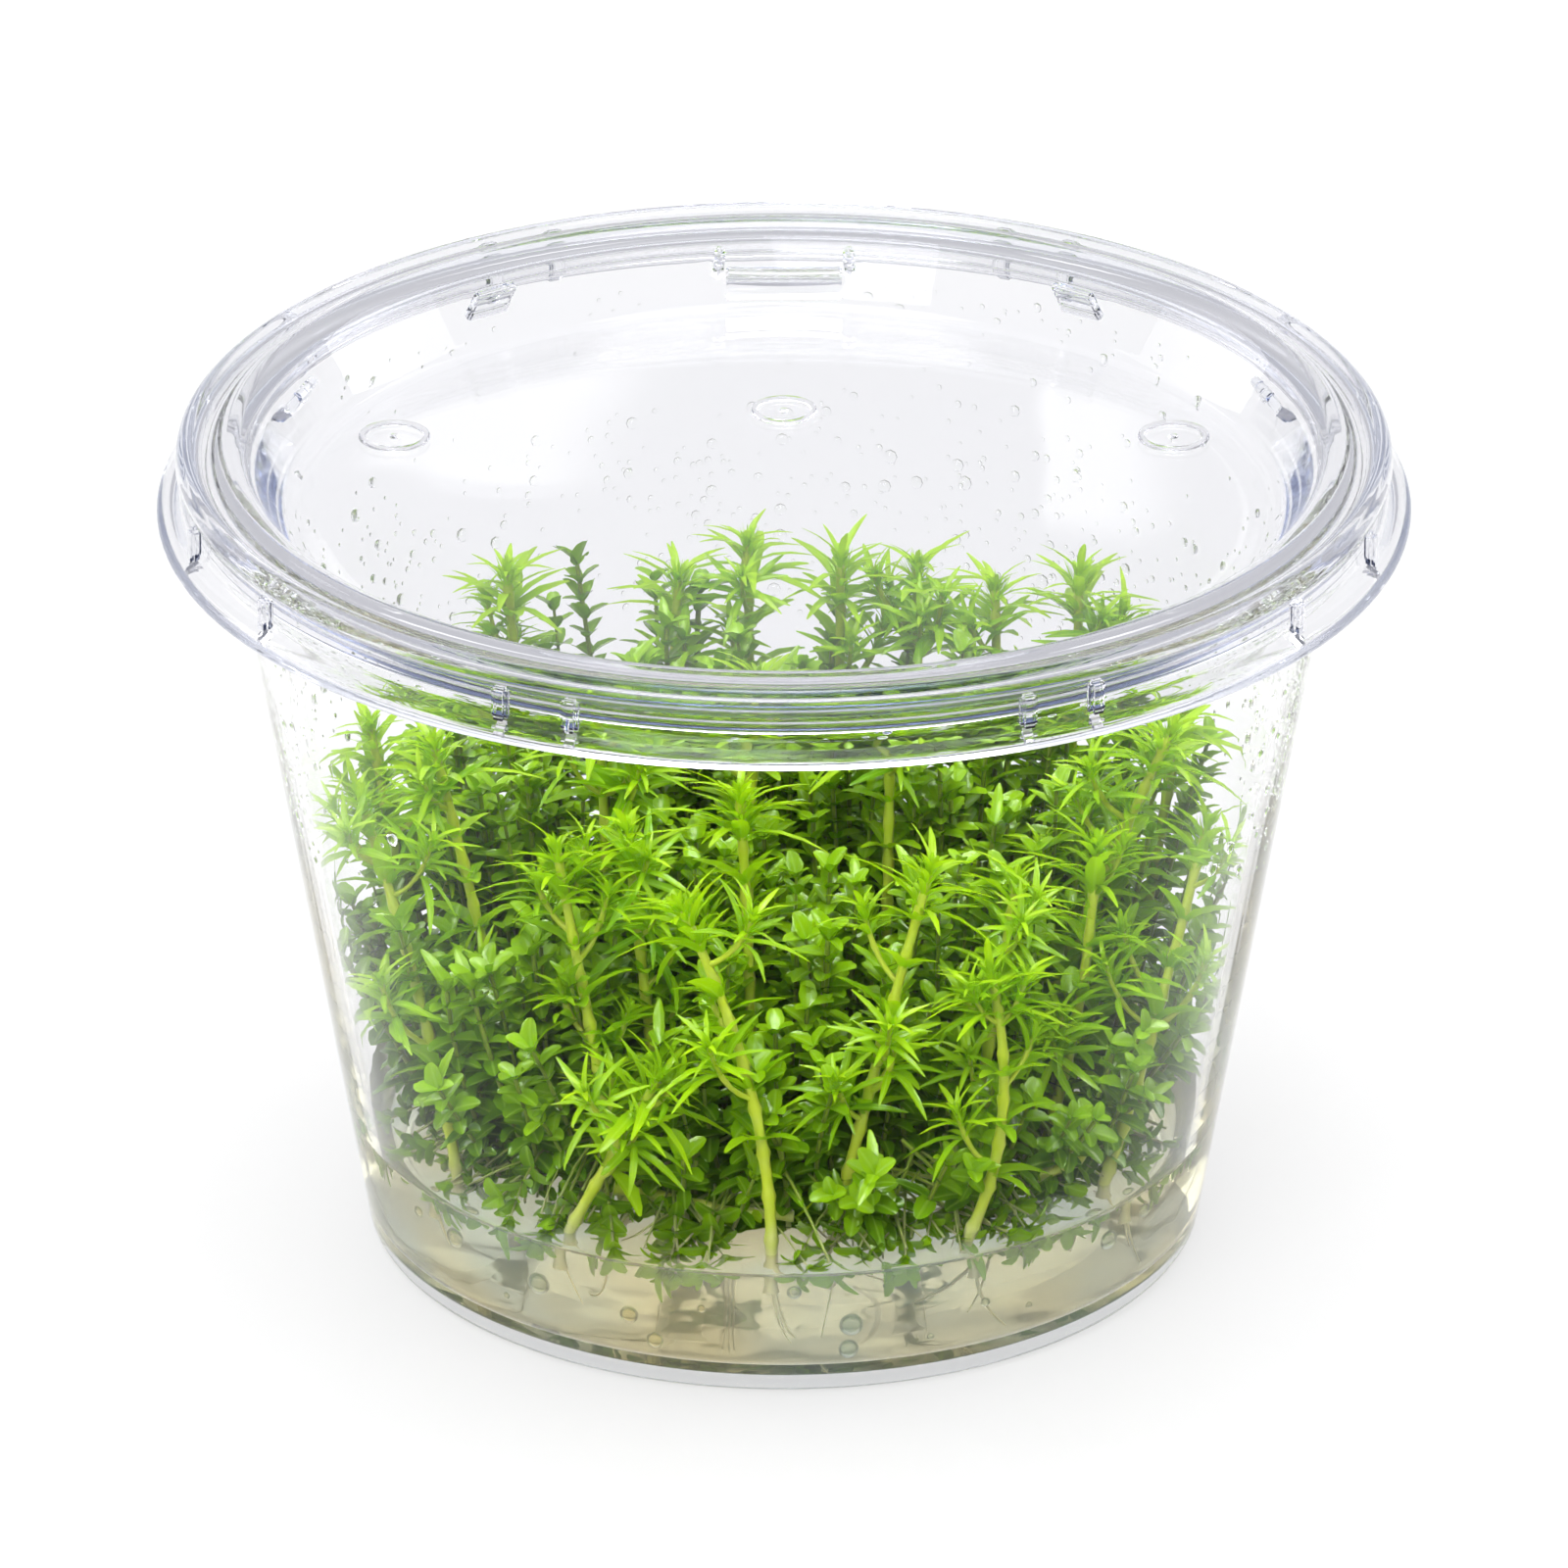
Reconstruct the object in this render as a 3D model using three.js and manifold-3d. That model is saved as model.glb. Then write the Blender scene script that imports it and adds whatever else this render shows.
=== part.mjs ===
// A lidded tissue culture cup of wayanad rotala, an aquarium stem plant, grown on clear nutrient gel.
// Millimetres, +Z up. The origin is the centre of the circle that the cup stands on.
// The front of the culture is at -Y, and +X is to its right.

import * as THREE from 'three';
import { mergeVertices } from 'three/addons/utils/BufferGeometryUtils.js';
import Module from 'manifold-3d';

const wasm = await Module();
wasm.setup();

// Driving dimensions of the cup and its lid
const LID_RADIUS = 50;            // outer edge of the lid's turned lip
const CUP_RIM_RADIUS = 46.8;      // outer edge of the cup's flange, inside the lid's channel
const CUP_RIM_TOP = 66.5;
const BASE_RADIUS = 33.4;         // where the outer wall would meet the table
const WALL_TAPER = 0.173;         // growth of the wall's radius for each millimetre of height
const WALL = 1.0;
const FLOOR_TOP = 2.0;
const LID_TOP = 68.5;
const LID_PANEL_TOP = 62.2;
const LID_WALL = 0.8;
const GEL_TOP = 10.5;
const GAP = 0.3;                  // clearance between two pieces that touch
const ROUND_SEGMENTS = 32;

// Driving dimensions of the plants
const STEM_RADIUS = 0.55;
const LEAF_LENGTH = 6.4;          // a full leaf of a tall shoot, from the stem to its tip
const LEAF_HALF_THICKNESS = 0.45; // at the stem, from where a leaf thins out to an edge
const LEAF_PAIRS = 4;             // on the stem of a tall shoot, below its crown
const CROWN_PAIRS = 3;
const CROWN_STEP = 1.2;           // between two pairs of leaves in a crown
const BARE_FOOT = 7;              // stem below the first pair of leaves
const ROOT_DEPTH = 5.6;
const ROOT_RADIUS = 0.16;
const POCKET_RADIUS = 1.25;
const TUFT_LEAF = 6.6;
const TUFT_TIER = 6.4;            // height between two whorls of a low tuft
const TUFT_LEAF_THICKNESS = 0.8;
const RUNNER_NODE_SPACING = 5.3;
const NEIGHBOUR_GAP = 0.5;        // a leaf ends this much nearer its own stem than any other

const outerWall = (z) => BASE_RADIUS + WALL_TAPER * z;
const innerWall = (z) => outerWall(z) - WALL;

// Tall shoots: the foot on the gel, a point that the stem bends through, and the tip
const SHOOTS = [
  { foot: [-26, -15.5], bend: [-28, -14, 24], tip: [-34, -3, 38] },
  { foot: [-21, -6], bend: [-24, -5, 26], tip: [-28, -2, 42] },
  { foot: [-12.5, -21], bend: [-15.5, -19.5, 26], tip: [-18, -14, 38.5] },
  { foot: [-9.5, -14.5], bend: [-11, -14, 26], tip: [-12.5, -10.5, 38.5] },
  { foot: [-2.5, -13], bend: [-2.5, -12, 25], tip: [-3.5, -8, 40.5] },
  { foot: [-1, -29], bend: [-1, -27, 24], tip: [-8, -21.5, 37] },
  { foot: [4, -24.5], bend: [7.5, -22, 25], tip: [11.5, -17, 38] },
  { foot: [14.5, -17], bend: [16.5, -16.5, 24], tip: [18.5, -12.5, 35] },
  { foot: [20.5, -13], bend: [24.5, -11.5, 24], tip: [25, -7, 35.5] },
  { foot: [18, -3.5], bend: [24, -3.5, 28], tip: [31, -0.5, 42.5] },
  { foot: [25.5, -16.5], bend: [30, -12.5, 23], tip: [34, -2.5, 35] },
  { foot: [14.5, -26.5], bend: [19, -25.5, 20], tip: [16.5, -21.5, 31] },
  { foot: [-17, -25], bend: [-14, -26, 17], tip: [-10, -25.5, 24] },
  { foot: [-29, 5], bend: [-31, 6, 25], tip: [-33.5, 7, 39.5] },
  { foot: [-14, 1], bend: [-14, 2, 27], tip: [-15, 4, 43] },
  { foot: [-3, 3], bend: [-3.5, 3, 27], tip: [-2, 5.5, 44] },
  { foot: [8, 2], bend: [8.5, 2.5, 27], tip: [8.5, 4, 42] },
  { foot: [28, 7], bend: [30, 8, 26], tip: [32.5, 9.5, 40] },
  { foot: [-19.5, 20], bend: [-21, 22.5, 26], tip: [-22.5, 24, 45] },
  { foot: [-9.5, 24], bend: [-9.5, 26, 27], tip: [-8.6, 27.5, 43] },
  { foot: [-3.2, 27.5], bend: [-2.6, 28, 27], tip: [-3, 30, 45] },
  { foot: [4.5, 24.5], bend: [4.5, 26, 27], tip: [4.6, 28, 44] },
  { foot: [11.5, 25], bend: [11, 28, 27], tip: [10.8, 29.5, 43] },
  { foot: [17, 20.5], bend: [17.5, 23.5, 26], tip: [17.2, 26.5, 42.5] },
  { foot: [22.5, 16], bend: [23.5, 19.5, 27], tip: [24, 23.5, 45] },
];

// Low tufts of small round leaves, which carpet the gel between the tall shoots: place and height
const TUFTS = [
  { at: [-21, -20], height: 14 },
  { at: [-8, -25.5], height: 9 },
  { at: [8, -29], height: 9 },
  { at: [21.5, -22], height: 12 },
  { at: [-18.5, -12], height: 19 },
  { at: [-5, -20], height: 16 },
  { at: [9, -17], height: 17 },
  { at: [29, -7], height: 14 },
  { at: [-28, -5], height: 16 },
  { at: [3.5, -7], height: 22 },
  { at: [-9, -4.5], height: 22 },
  { at: [14, -6.5], height: 21 },
  { at: [-21, 8], height: 24 },
  { at: [3, 14], height: 28 },
  { at: [-8.5, 12.5], height: 28 },
  { at: [14, 11.5], height: 27 },
  { at: [22, 3.5], height: 23 },
  { at: [-13, 21.5], height: 29 },
  { at: [-28, 14.5], height: 21 },
];

// Creeping stems that lie on the gel between the tufts
const RUNNERS = {
  runner_front: [[-13.5, -23.5, 13.5], [-9, -23.5, 12.6], [-4.5, -24.6, 12], [0.8, -25.2, 11.8]],
  runner_right: [[20, -19, 12.2], [23.5, -17.6, 13], [25.2, -13.2, 14.5], [25.6, -8.5, 15.5]],
};

// Marks and ribs on the lid: angles are from the front, to the right
const SKIRT_RIB_ANGLES = [-74, -57, -27, -20, 23, 30, 56, 73, 104, 123, 151, 158, 203, 210, 236, 257];
const STACKING_LUG_ANGLES = [110, 145, 215, 250];
const STACKING_TAB = [10.2, 1.3, 3.2];
const WALL_LEAN = -0.55;
const VENT_MARKS = [[0, 19.3, 2.4], [-31.3, 14.2, 2.6], [31.3, 14.2, 2.6]];

const group = new THREE.Group();

const material = (color, roughness, opacity = 1) => new THREE.MeshStandardMaterial({
  color, roughness, metalness: 0, opacity, transparent: opacity < 1,
});
const CLEAR_CUP = material(0xe9ecf4, 0.05, 0.3);
const CLEAR_LID = material(0xe4e7f2, 0.05, 0.3);
const CLEAR_GEL = material(0xe8e3c6, 0.08, 0.55);
const SHOOT_GREEN = material(0x7cc21c, 0.35);
const TUFT_GREEN = material(0x3f9a17, 0.35);
const RUNNER_GREEN = material(0xa3bf4a, 0.4);

function addMesh(name, geometry, look) {
  const mesh = new THREE.Mesh(geometry, look);
  mesh.name = name;
  group.add(mesh);
}

// A profile of [radius, height] points turned about +Z
function turned(profile, segments = ROUND_SEGMENTS) {
  const points = profile.map(([radius, height]) => new THREE.Vector2(radius, height));
  return new THREE.LatheGeometry(points, segments).rotateX(Math.PI / 2);
}

// Between a three.js geometry and a manifold solid
function toSolid(geometry) {
  const bare = geometry.clone();
  bare.deleteAttribute('normal');
  bare.deleteAttribute('uv');
  const merged = mergeVertices(bare, 1e-4);
  const index = merged.getIndex().array;
  const corners = [];
  for (let i = 0; i < index.length; i += 3) {
    const [a, b, c] = [index[i], index[i + 1], index[i + 2]];
    if (a !== b && b !== c && c !== a) corners.push(a, b, c);
  }
  return new wasm.Manifold(new wasm.Mesh({
    numProp: 3,
    vertProperties: new Float32Array(merged.getAttribute('position').array),
    triVerts: new Uint32Array(corners),
  }));
}

function toGeometry(solid) {
  const mesh = solid.getMesh();
  const geometry = new THREE.BufferGeometry();
  geometry.setAttribute('position', new THREE.BufferAttribute(mesh.vertProperties, 3));
  geometry.setIndex(new THREE.BufferAttribute(mesh.triVerts, 1));
  geometry.computeVertexNormals();
  return geometry;
}

// A box standing at a radius and an angle, its depth along the radius, leaning out by lean radians
function boxAt(degrees, radius, height, [width, depth, tall], lean = 0) {
  return new THREE.BoxGeometry(width, depth, tall)
    .rotateX(lean)
    .translate(0, -radius, height)
    .rotateZ(THREE.MathUtils.degToRad(degrees));
}

// The cup: a tapered tub on a foot ring, with a flange round its mouth
function makeCup() {
  const wallTop = CUP_RIM_TOP - 1.9;
  return turned([
    [0, 0.8],
    [30.6, 0.8],
    [31.4, 0],
    [32.6, 0],
    [outerWall(0.9), 0.9],
    [outerWall(wallTop), wallTop],
    [CUP_RIM_RADIUS - 0.8, wallTop + 0.3],
    [CUP_RIM_RADIUS - 0.7, wallTop - 0.5],
    [CUP_RIM_RADIUS, wallTop - 0.5],
    [CUP_RIM_RADIUS, CUP_RIM_TOP],
    [innerWall(CUP_RIM_TOP) - 0.2, CUP_RIM_TOP],
    [innerWall(FLOOR_TOP + 1), FLOOR_TOP + 1],
    [innerWall(FLOOR_TOP) - 0.9, FLOOR_TOP],
    [0, FLOOR_TOP],
  ]);
}

// The lid: a sunk panel, a flat between two raised rings, and a skirt that turns out to a lip
function makeLid() {
  const body = turned([
    [0, LID_PANEL_TOP - LID_WALL],
    [40.3, LID_PANEL_TOP - LID_WALL],
    [42.3, 66.4],
    [43.2, 67.0],
    [47.2, 67.1],
    [47.2, 64.0],
    [48.6, 62.3],
    [49.9, 62.3],
    [LID_RADIUS, 63.0],
    [49.1, 63.7],
    [48.0, 64.2],
    [48.0, 66.4],
    [48.5, 66.9],
    [48.3, 68.0],
    [47.4, LID_TOP],
    [46.7, 67.9],
    [45.5, 67.9],
    [44.8, LID_TOP],
    [43.1, 67.9],
    [39.6, LID_PANEL_TOP],
    [0, LID_PANEL_TOP],
  ]);
  const added = [
    ...SKIRT_RIB_ANGLES.map((a) => boxAt(a, 48.3, 65.0, [1.4, 1.3, 3.4])),
    ...STACKING_LUG_ANGLES.map((a) => boxAt(a, 41.4, 65.3, [3.8, 1.1, 3.4], WALL_LEAN)),
    boxAt(180, 40.6, 64.1, STACKING_TAB, WALL_LEAN),
    ...VENT_MARKS.map(([x, y, radius]) => turned([
      [radius - 0.35, LID_PANEL_TOP - 0.2],
      [radius, LID_PANEL_TOP - 0.2],
      [radius - 0.15, LID_PANEL_TOP + 0.25],
      [radius - 0.35, LID_PANEL_TOP - 0.2],
    ], 10).translate(x, y, 0)),
  ];
  return toGeometry(added.reduce((solid, extra) => solid.add(toSolid(extra)), toSolid(body)));
}

// The gel: it fills the cup's foot and creeps up the wall at its edge, with a pocket at each root
function makeGel(feet) {
  const top = GEL_TOP + 0.5;
  const body = turned([
    [0, FLOOR_TOP + GAP],
    [innerWall(FLOOR_TOP) - 1.3, FLOOR_TOP + GAP],
    [innerWall(FLOOR_TOP + 1) - GAP - 0.1, FLOOR_TOP + GAP + 0.9],
    [innerWall(top) - GAP - 0.05, top],
    [innerWall(top) - 1.2, GEL_TOP],
    [0, GEL_TOP],
  ]);
  const depth = ROOT_DEPTH + 0.7;
  const pockets = feet.map(([x, y]) => new THREE.CylinderGeometry(
    POCKET_RADIUS * 1.4, POCKET_RADIUS * 0.6, depth * 2, 4, 1,
  ).rotateX(Math.PI / 2).translate(x, y, GEL_TOP));
  return toGeometry(pockets.reduce((solid, pocket) => solid.subtract(toSolid(pocket)), toSolid(body)));
}

// A closed skin over rings that all have the same number of points, with a pointed end at both ends
function skin(rings, first, last) {
  const count = rings[0].length;
  const positions = [first, ...rings.flat(), last].flatMap((p) => [p.x, p.y, p.z]);
  const triangles = [];
  const at = (ring, i) => 1 + ring * count + (i % count);
  for (let i = 0; i < count; i += 1) {
    triangles.push(0, at(0, i + 1), at(0, i));
    for (let ring = 0; ring + 1 < rings.length; ring += 1) {
      triangles.push(at(ring, i), at(ring, i + 1), at(ring + 1, i));
      triangles.push(at(ring, i + 1), at(ring + 1, i + 1), at(ring + 1, i));
    }
    triangles.push(1 + rings.length * count, at(rings.length - 1, i), at(rings.length - 1, i + 1));
  }
  const geometry = new THREE.BufferGeometry();
  geometry.setAttribute('position', new THREE.BufferAttribute(new Float32Array(positions), 3));
  geometry.setIndex(triangles);
  geometry.computeVertexNormals();
  return geometry;
}

// The lines that the plants grow along
const AXIS_STEPS = 12;
const vector = ([x, y, z]) => new THREE.Vector3(x, y, z);

function shootCurve({ foot, bend, tip }) {
  return new THREE.QuadraticBezierCurve3(vector([...foot, GEL_TOP]), vector(bend), vector(tip));
}

const plants = {};
SHOOTS.forEach((shoot, i) => {
  const name = `shoot_${String(i + 1).padStart(2, '0')}`;
  plants[name] = { kind: 'shoot', curve: shootCurve(shoot) };
});
TUFTS.forEach(({ at: [x, y], height }, i) => {
  const name = `tuft_${String(i + 1).padStart(2, '0')}`;
  const curve = new THREE.LineCurve3(vector([x, y, GEL_TOP + GAP]), vector([x, y, GEL_TOP + height]));
  plants[name] = { kind: 'tuft', curve };
});
Object.entries(RUNNERS).forEach(([name, points]) => {
  plants[name] = { kind: 'runner', curve: new THREE.CatmullRomCurve3(points.map(vector)) };
});
Object.values(plants).forEach((plant) => { plant.line = plant.curve.getPoints(AXIS_STEPS); });

const segment = new THREE.Line3();
const nearest = new THREE.Vector3();
function distanceTo(line, point) {
  let least = Infinity;
  for (let i = 0; i + 1 < line.length; i += 1) {
    segment.set(line[i], line[i + 1]).closestPointToPoint(point, true, nearest);
    least = Math.min(least, nearest.distanceTo(point));
  }
  return least;
}

// True where a leaf may be: inside the cup, above the gel, and nearer its own stem than any other
function isFree(point, own) {
  if (Math.hypot(point.x, point.y) > innerWall(point.z) - 2 * GAP) return false;
  if (point.z < GEL_TOP + 2 * GAP) return false;
  const mine = distanceTo(own.line, point) + NEIGHBOUR_GAP;
  return Object.values(plants).every((other) => other === own || distanceTo(other.line, point) > mine);
}

// How far a leaf can reach from a point of the stem before it meets its neighbours' room
function reach(own, start, direction, wanted) {
  const STEP = 0.25;
  let length = STEP;
  while (length < wanted && isFree(start.clone().addScaledVector(direction, length + STEP), own)) {
    length += STEP;
  }
  return Math.max(length, STEM_RADIUS * 1.3);
}

// The directions across and along a stem at a place on its line
function frameAt(curve, t, turn) {
  const along = curve.getTangent(t).normalize();
  const side = new THREE.Vector3(Math.cos(turn), Math.sin(turn), 0);
  side.addScaledVector(along, -side.dot(along)).normalize();
  return { point: curve.getPoint(t), along, side, across: along.clone().cross(side) };
}

// A ring of points round a stem. lengths gives each point's distance, and rise lifts the long ones.
function ringAt({ point, along, side, across }, lengths, rise = 0, shift = 0) {
  return lengths.map((length, i) => {
    const angle = (i / lengths.length) * Math.PI * 2;
    const out = side.clone().multiplyScalar(Math.cos(angle)).addScaledVector(across, Math.sin(angle));
    const lift = length > STEM_RADIUS * 1.2 ? length * rise : 0;
    return point.clone().addScaledVector(out, length).addScaledVector(along, shift + lift);
  });
}

// The ring of a set of leaves: every second point is a leaf tip, and those between are at the neck
function leafRing(own, frame, evenLeaves, { count, wanted, rise, neck }) {
  const outward = ringAt(frame, new Array(count).fill(1)).map((tip) => tip.sub(frame.point));
  const lengths = outward.map((out, i) => {
    const isLeaf = (i % 2 === 0) === evenLeaves;
    if (!isLeaf && neck <= STEM_RADIUS) return neck;
    const direction = out.addScaledVector(frame.along, rise);
    return reach(own, frame.point, direction, isLeaf ? wanted : neck);
  });
  return ringAt(frame, lengths, rise);
}

// A tall shoot: a root in the gel, a square stem, crossed pairs of leaves and a crown of steep ones
function makeShoot(own, index) {
  const { curve } = own;
  const length = curve.getLength();
  const turn = index * 2.4;
  const foot = frameAt(curve, 0, turn);
  const stem = new Array(4).fill(STEM_RADIUS);
  const rootTip = foot.point.clone().setZ(GEL_TOP - ROOT_DEPTH);
  const rootRing = ringAt(foot, stem).map((point) => point.sub(foot.point)
    .multiplyScalar(ROOT_RADIUS / STEM_RADIUS).setZ(0).add(rootTip));
  const rings = [rootRing, ringAt(foot, stem)];
  const crownStart = length - CROWN_PAIRS * CROWN_STEP;
  for (let i = 0; i < LEAF_PAIRS; i += 1) {
    const share = i / LEAF_PAIRS;
    const frame = frameAt(curve, (BARE_FOOT + (crownStart - BARE_FOOT) * share) / length, turn);
    const leaf = { count: 4, wanted: LEAF_LENGTH, rise: 0.25 + 0.4 * share, neck: STEM_RADIUS };
    rings.push(ringAt(frame, stem, 0, -LEAF_HALF_THICKNESS));
    rings.push(leafRing(own, frame, i % 2 === 0, leaf));
    rings.push(ringAt(frame, stem, 0, LEAF_HALF_THICKNESS));
  }
  rings.push(ringAt(frameAt(curve, crownStart / length, turn), stem, 0, -CROWN_STEP / 2));
  for (let i = 0; i < CROWN_PAIRS; i += 1) {
    const frame = frameAt(curve, (crownStart + i * CROWN_STEP) / length, turn);
    const wanted = LEAF_LENGTH * (0.8 - 0.18 * i);
    const leaf = { count: 4, wanted, rise: 0.7 + 0.4 * i, neck: STEM_RADIUS };
    rings.push(leafRing(own, frame, i % 2 === 0, leaf));
    if (i < CROWN_PAIRS - 1) rings.push(ringAt(frame, stem, 0, CROWN_STEP / 2));
  }
  const end = frameAt(curve, 1, turn);
  return skin(rings, rootTip.clone().setZ(rootTip.z - 0.3), end.point.addScaledVector(end.along, 1.4));
}

// A low tuft: whorls of four blunt leaves, each turned over the gaps of the whorl below
function makeTuft(own, index) {
  const { curve } = own;
  const height = curve.getLength();
  const tiers = Math.max(2, Math.round(height / TUFT_TIER));
  const waist = new Array(8).fill(1.1);
  const rings = [];
  for (let i = 0; i < tiers; i += 1) {
    const frame = frameAt(curve, (1.6 + (height - 3.4) * (i / (tiers - 1))) / height, index * 1.3);
    const size = TUFT_LEAF * (1 - 0.4 * (i / tiers) ** 2);
    const leaf = { count: 8, wanted: size, rise: 0.15, neck: size * 0.45 };
    if (i === 0) rings.push(ringAt(frame, waist, 0, -TUFT_LEAF_THICKNESS));
    rings.push(leafRing(own, frame, i % 2 === 0, leaf));
    rings.push(ringAt(frame, waist, 0, TUFT_LEAF_THICKNESS));
  }
  return skin(rings, curve.getPoint(0), curve.getPoint(1));
}

// A creeping stem with short crossed pairs of leaves
function makeRunner(own, index) {
  const { curve } = own;
  const length = curve.getLength();
  const pairs = Math.round(length / RUNNER_NODE_SPACING);
  const stem = new Array(4).fill(STEM_RADIUS);
  const rings = [];
  for (let i = 0; i < pairs; i += 1) {
    const frame = frameAt(curve, (i + 0.7) / (pairs + 0.4), index + 0.6);
    const leaf = { count: 4, wanted: 2.6, rise: 0.3, neck: STEM_RADIUS };
    rings.push(ringAt(frame, stem, 0, -LEAF_HALF_THICKNESS));
    rings.push(leafRing(own, frame, i % 2 === 0, leaf));
    rings.push(ringAt(frame, stem, 0, LEAF_HALF_THICKNESS));
  }
  return skin(rings, curve.getPoint(0), curve.getPoint(1));
}

addMesh('cup', makeCup(), CLEAR_CUP);
addMesh('lid', makeLid(), CLEAR_LID);
addMesh('gel', makeGel(SHOOTS.map(({ foot }) => foot)), CLEAR_GEL);

const MAKERS = { shoot: makeShoot, tuft: makeTuft, runner: makeRunner };
const GREENS = { shoot: SHOOT_GREEN, tuft: TUFT_GREEN, runner: RUNNER_GREEN };
Object.entries(plants).forEach(([name, plant], index) => {
  addMesh(name, MAKERS[plant.kind](plant, index), GREENS[plant.kind]);
});

export default group;
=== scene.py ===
import math
import random

import bmesh
import bpy
from mathutils import Matrix, Vector


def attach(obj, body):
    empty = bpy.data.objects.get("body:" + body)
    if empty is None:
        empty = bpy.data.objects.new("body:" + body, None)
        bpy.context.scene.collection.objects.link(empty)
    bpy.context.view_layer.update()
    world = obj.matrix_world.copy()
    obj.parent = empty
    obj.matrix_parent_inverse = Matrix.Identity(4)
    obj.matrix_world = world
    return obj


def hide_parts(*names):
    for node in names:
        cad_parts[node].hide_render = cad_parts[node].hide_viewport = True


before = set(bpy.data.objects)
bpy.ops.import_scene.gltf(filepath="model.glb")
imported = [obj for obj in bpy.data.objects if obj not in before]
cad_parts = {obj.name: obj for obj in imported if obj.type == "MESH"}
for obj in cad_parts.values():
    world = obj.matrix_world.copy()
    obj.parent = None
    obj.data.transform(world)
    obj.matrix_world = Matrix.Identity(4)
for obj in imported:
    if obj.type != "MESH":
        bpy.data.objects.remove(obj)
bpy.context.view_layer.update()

MM = 0.001
scene = bpy.context.scene

# The studio: a lit white table under a wide, soft, white sky, seen by a long lens from a little above.
# The sky is a darker grey near the table, most of all at the front and sides, which draws the edges of
# clear plastic, and has a bright softbox straight overhead.
CAMERA_DISTANCE = 1500 * MM
CAMERA_ELEVATION = math.radians(25.04)
CAMERA_AIM_HEIGHT = 38.0 * MM
CAMERA_LENS = 429.3
FILM_WIDTH = 36.0
TABLE_SIDE = 6.0
TABLE_WHITE = (0.10, 0.10, 0.10)
TABLE_GLOW = 0.71
SKY_TOP = (1.0, 1.0, 1.0)
SKY_LOW = (0.20, 0.205, 0.23)
SKY_BACK = (0.46, 0.46, 0.48)
SKY_STRENGTH = 1.45
OVERHEAD_STRENGTH = 11.0
# Each softbox: its place in metres, its side in metres and its power in watts.
LAMPS = {
    "softbox_left": ((-1.3, 0.5, 0.8), 0.8, 9.0),
    "softbox_right": ((1.3, 0.3, 0.8), 0.7, 9.0),
    "softbox_front": ((-0.4, -1.2, 1.2), 0.9, 28.0),
}
WINDOW_PLACE = (0.0, 0.93, 0.466)
WINDOW_SIZE = (0.16, 0.05)
WINDOW_GLOW = 1.4
LIGHT_BOUNCES = 48
LEAF_BOUNCES = 2


class Wire:
    """The output of a node. Arithmetic on it adds the Math nodes that work the result out."""

    def __init__(self, maker, socket):
        self.maker = maker
        self.socket = socket

    def math(self, operation, *others):
        node = self.maker.node("ShaderNodeMath", operation=operation)
        for place, value in enumerate((self, *others)):
            self.maker.feed(node.inputs[place], value)
        return Wire(self.maker, node.outputs[0])

    def __add__(self, other):
        return self.math("ADD", other)

    __radd__ = __add__

    def __mul__(self, other):
        return self.math("MULTIPLY", other)

    __rmul__ = __mul__

    def __sub__(self, other):
        return self.math("SUBTRACT", other)

    def __rsub__(self, other):
        return (self * -1.0) + other

    def __truediv__(self, other):
        return self.math("DIVIDE", other)

    def __pow__(self, other):
        return self.math("POWER", other)

    def clamped(self, low=0.0, high=1.0):
        return self.math("MAXIMUM", low).math("MINIMUM", high)

    def ramp(self, start, end):
        """0 below start, 1 above end, and smooth between."""
        sockets = {"Value": self, "From Min": start, "From Max": end}
        return self.maker.wire("ShaderNodeMapRange", sockets, "Result", interpolation_type="SMOOTHSTEP")


class Maker:
    """Adds nodes to one tree."""

    def __init__(self, tree):
        self.tree = tree

    def feed(self, socket, value):
        if isinstance(value, Wire):
            self.tree.links.new(value.socket, socket)
        else:
            socket.default_value = value

    def node(self, kind, sockets=None, **settings):
        """A new node. sockets are what its inputs get, by name or number."""
        made = self.tree.nodes.new(kind)
        for name, value in settings.items():
            setattr(made, name, value)
        for key, value in (sockets or {}).items():
            self.feed(made.inputs[key], value)
        return made

    def wire(self, kind, sockets=None, output=0, **settings):
        """The output of a new node."""
        return Wire(self, self.node(kind, sockets, **settings).outputs[output])

    def mix(self, factor, low, high):
        """A colour between two others."""
        node = self.node("ShaderNodeMix", data_type="RGBA")
        self.feed(node.inputs[0], factor)
        for place, colour in ((6, low), (7, high)):
            self.feed(node.inputs[place], colour if isinstance(colour, Wire) else (*colour, 1.0))
        return Wire(self, node.outputs[2])

    def split(self, vector):
        """The X, Y and Z of a vector."""
        node = self.node("ShaderNodeSeparateXYZ", {"Vector": vector})
        return [Wire(self, node.outputs[axis]) for axis in "XYZ"]

    def noise(self, scale, detail=2.0, coordinates=None):
        where = coordinates or self.wire("ShaderNodeTexCoord", output="Object")
        return self.wire("ShaderNodeTexNoise", {"Vector": where, "Scale": scale, "Detail": detail}, "Fac")


def new_material(name, sockets):
    """A material of one Principled shader, and the maker for its other nodes."""
    material = bpy.data.materials.new(name)
    material.use_nodes = True
    maker = Maker(material.node_tree)
    shader = material.node_tree.nodes["Principled BSDF"]
    for key, value in sockets.items():
        maker.feed(shader.inputs[key], value)
    return material, maker, shader


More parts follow.
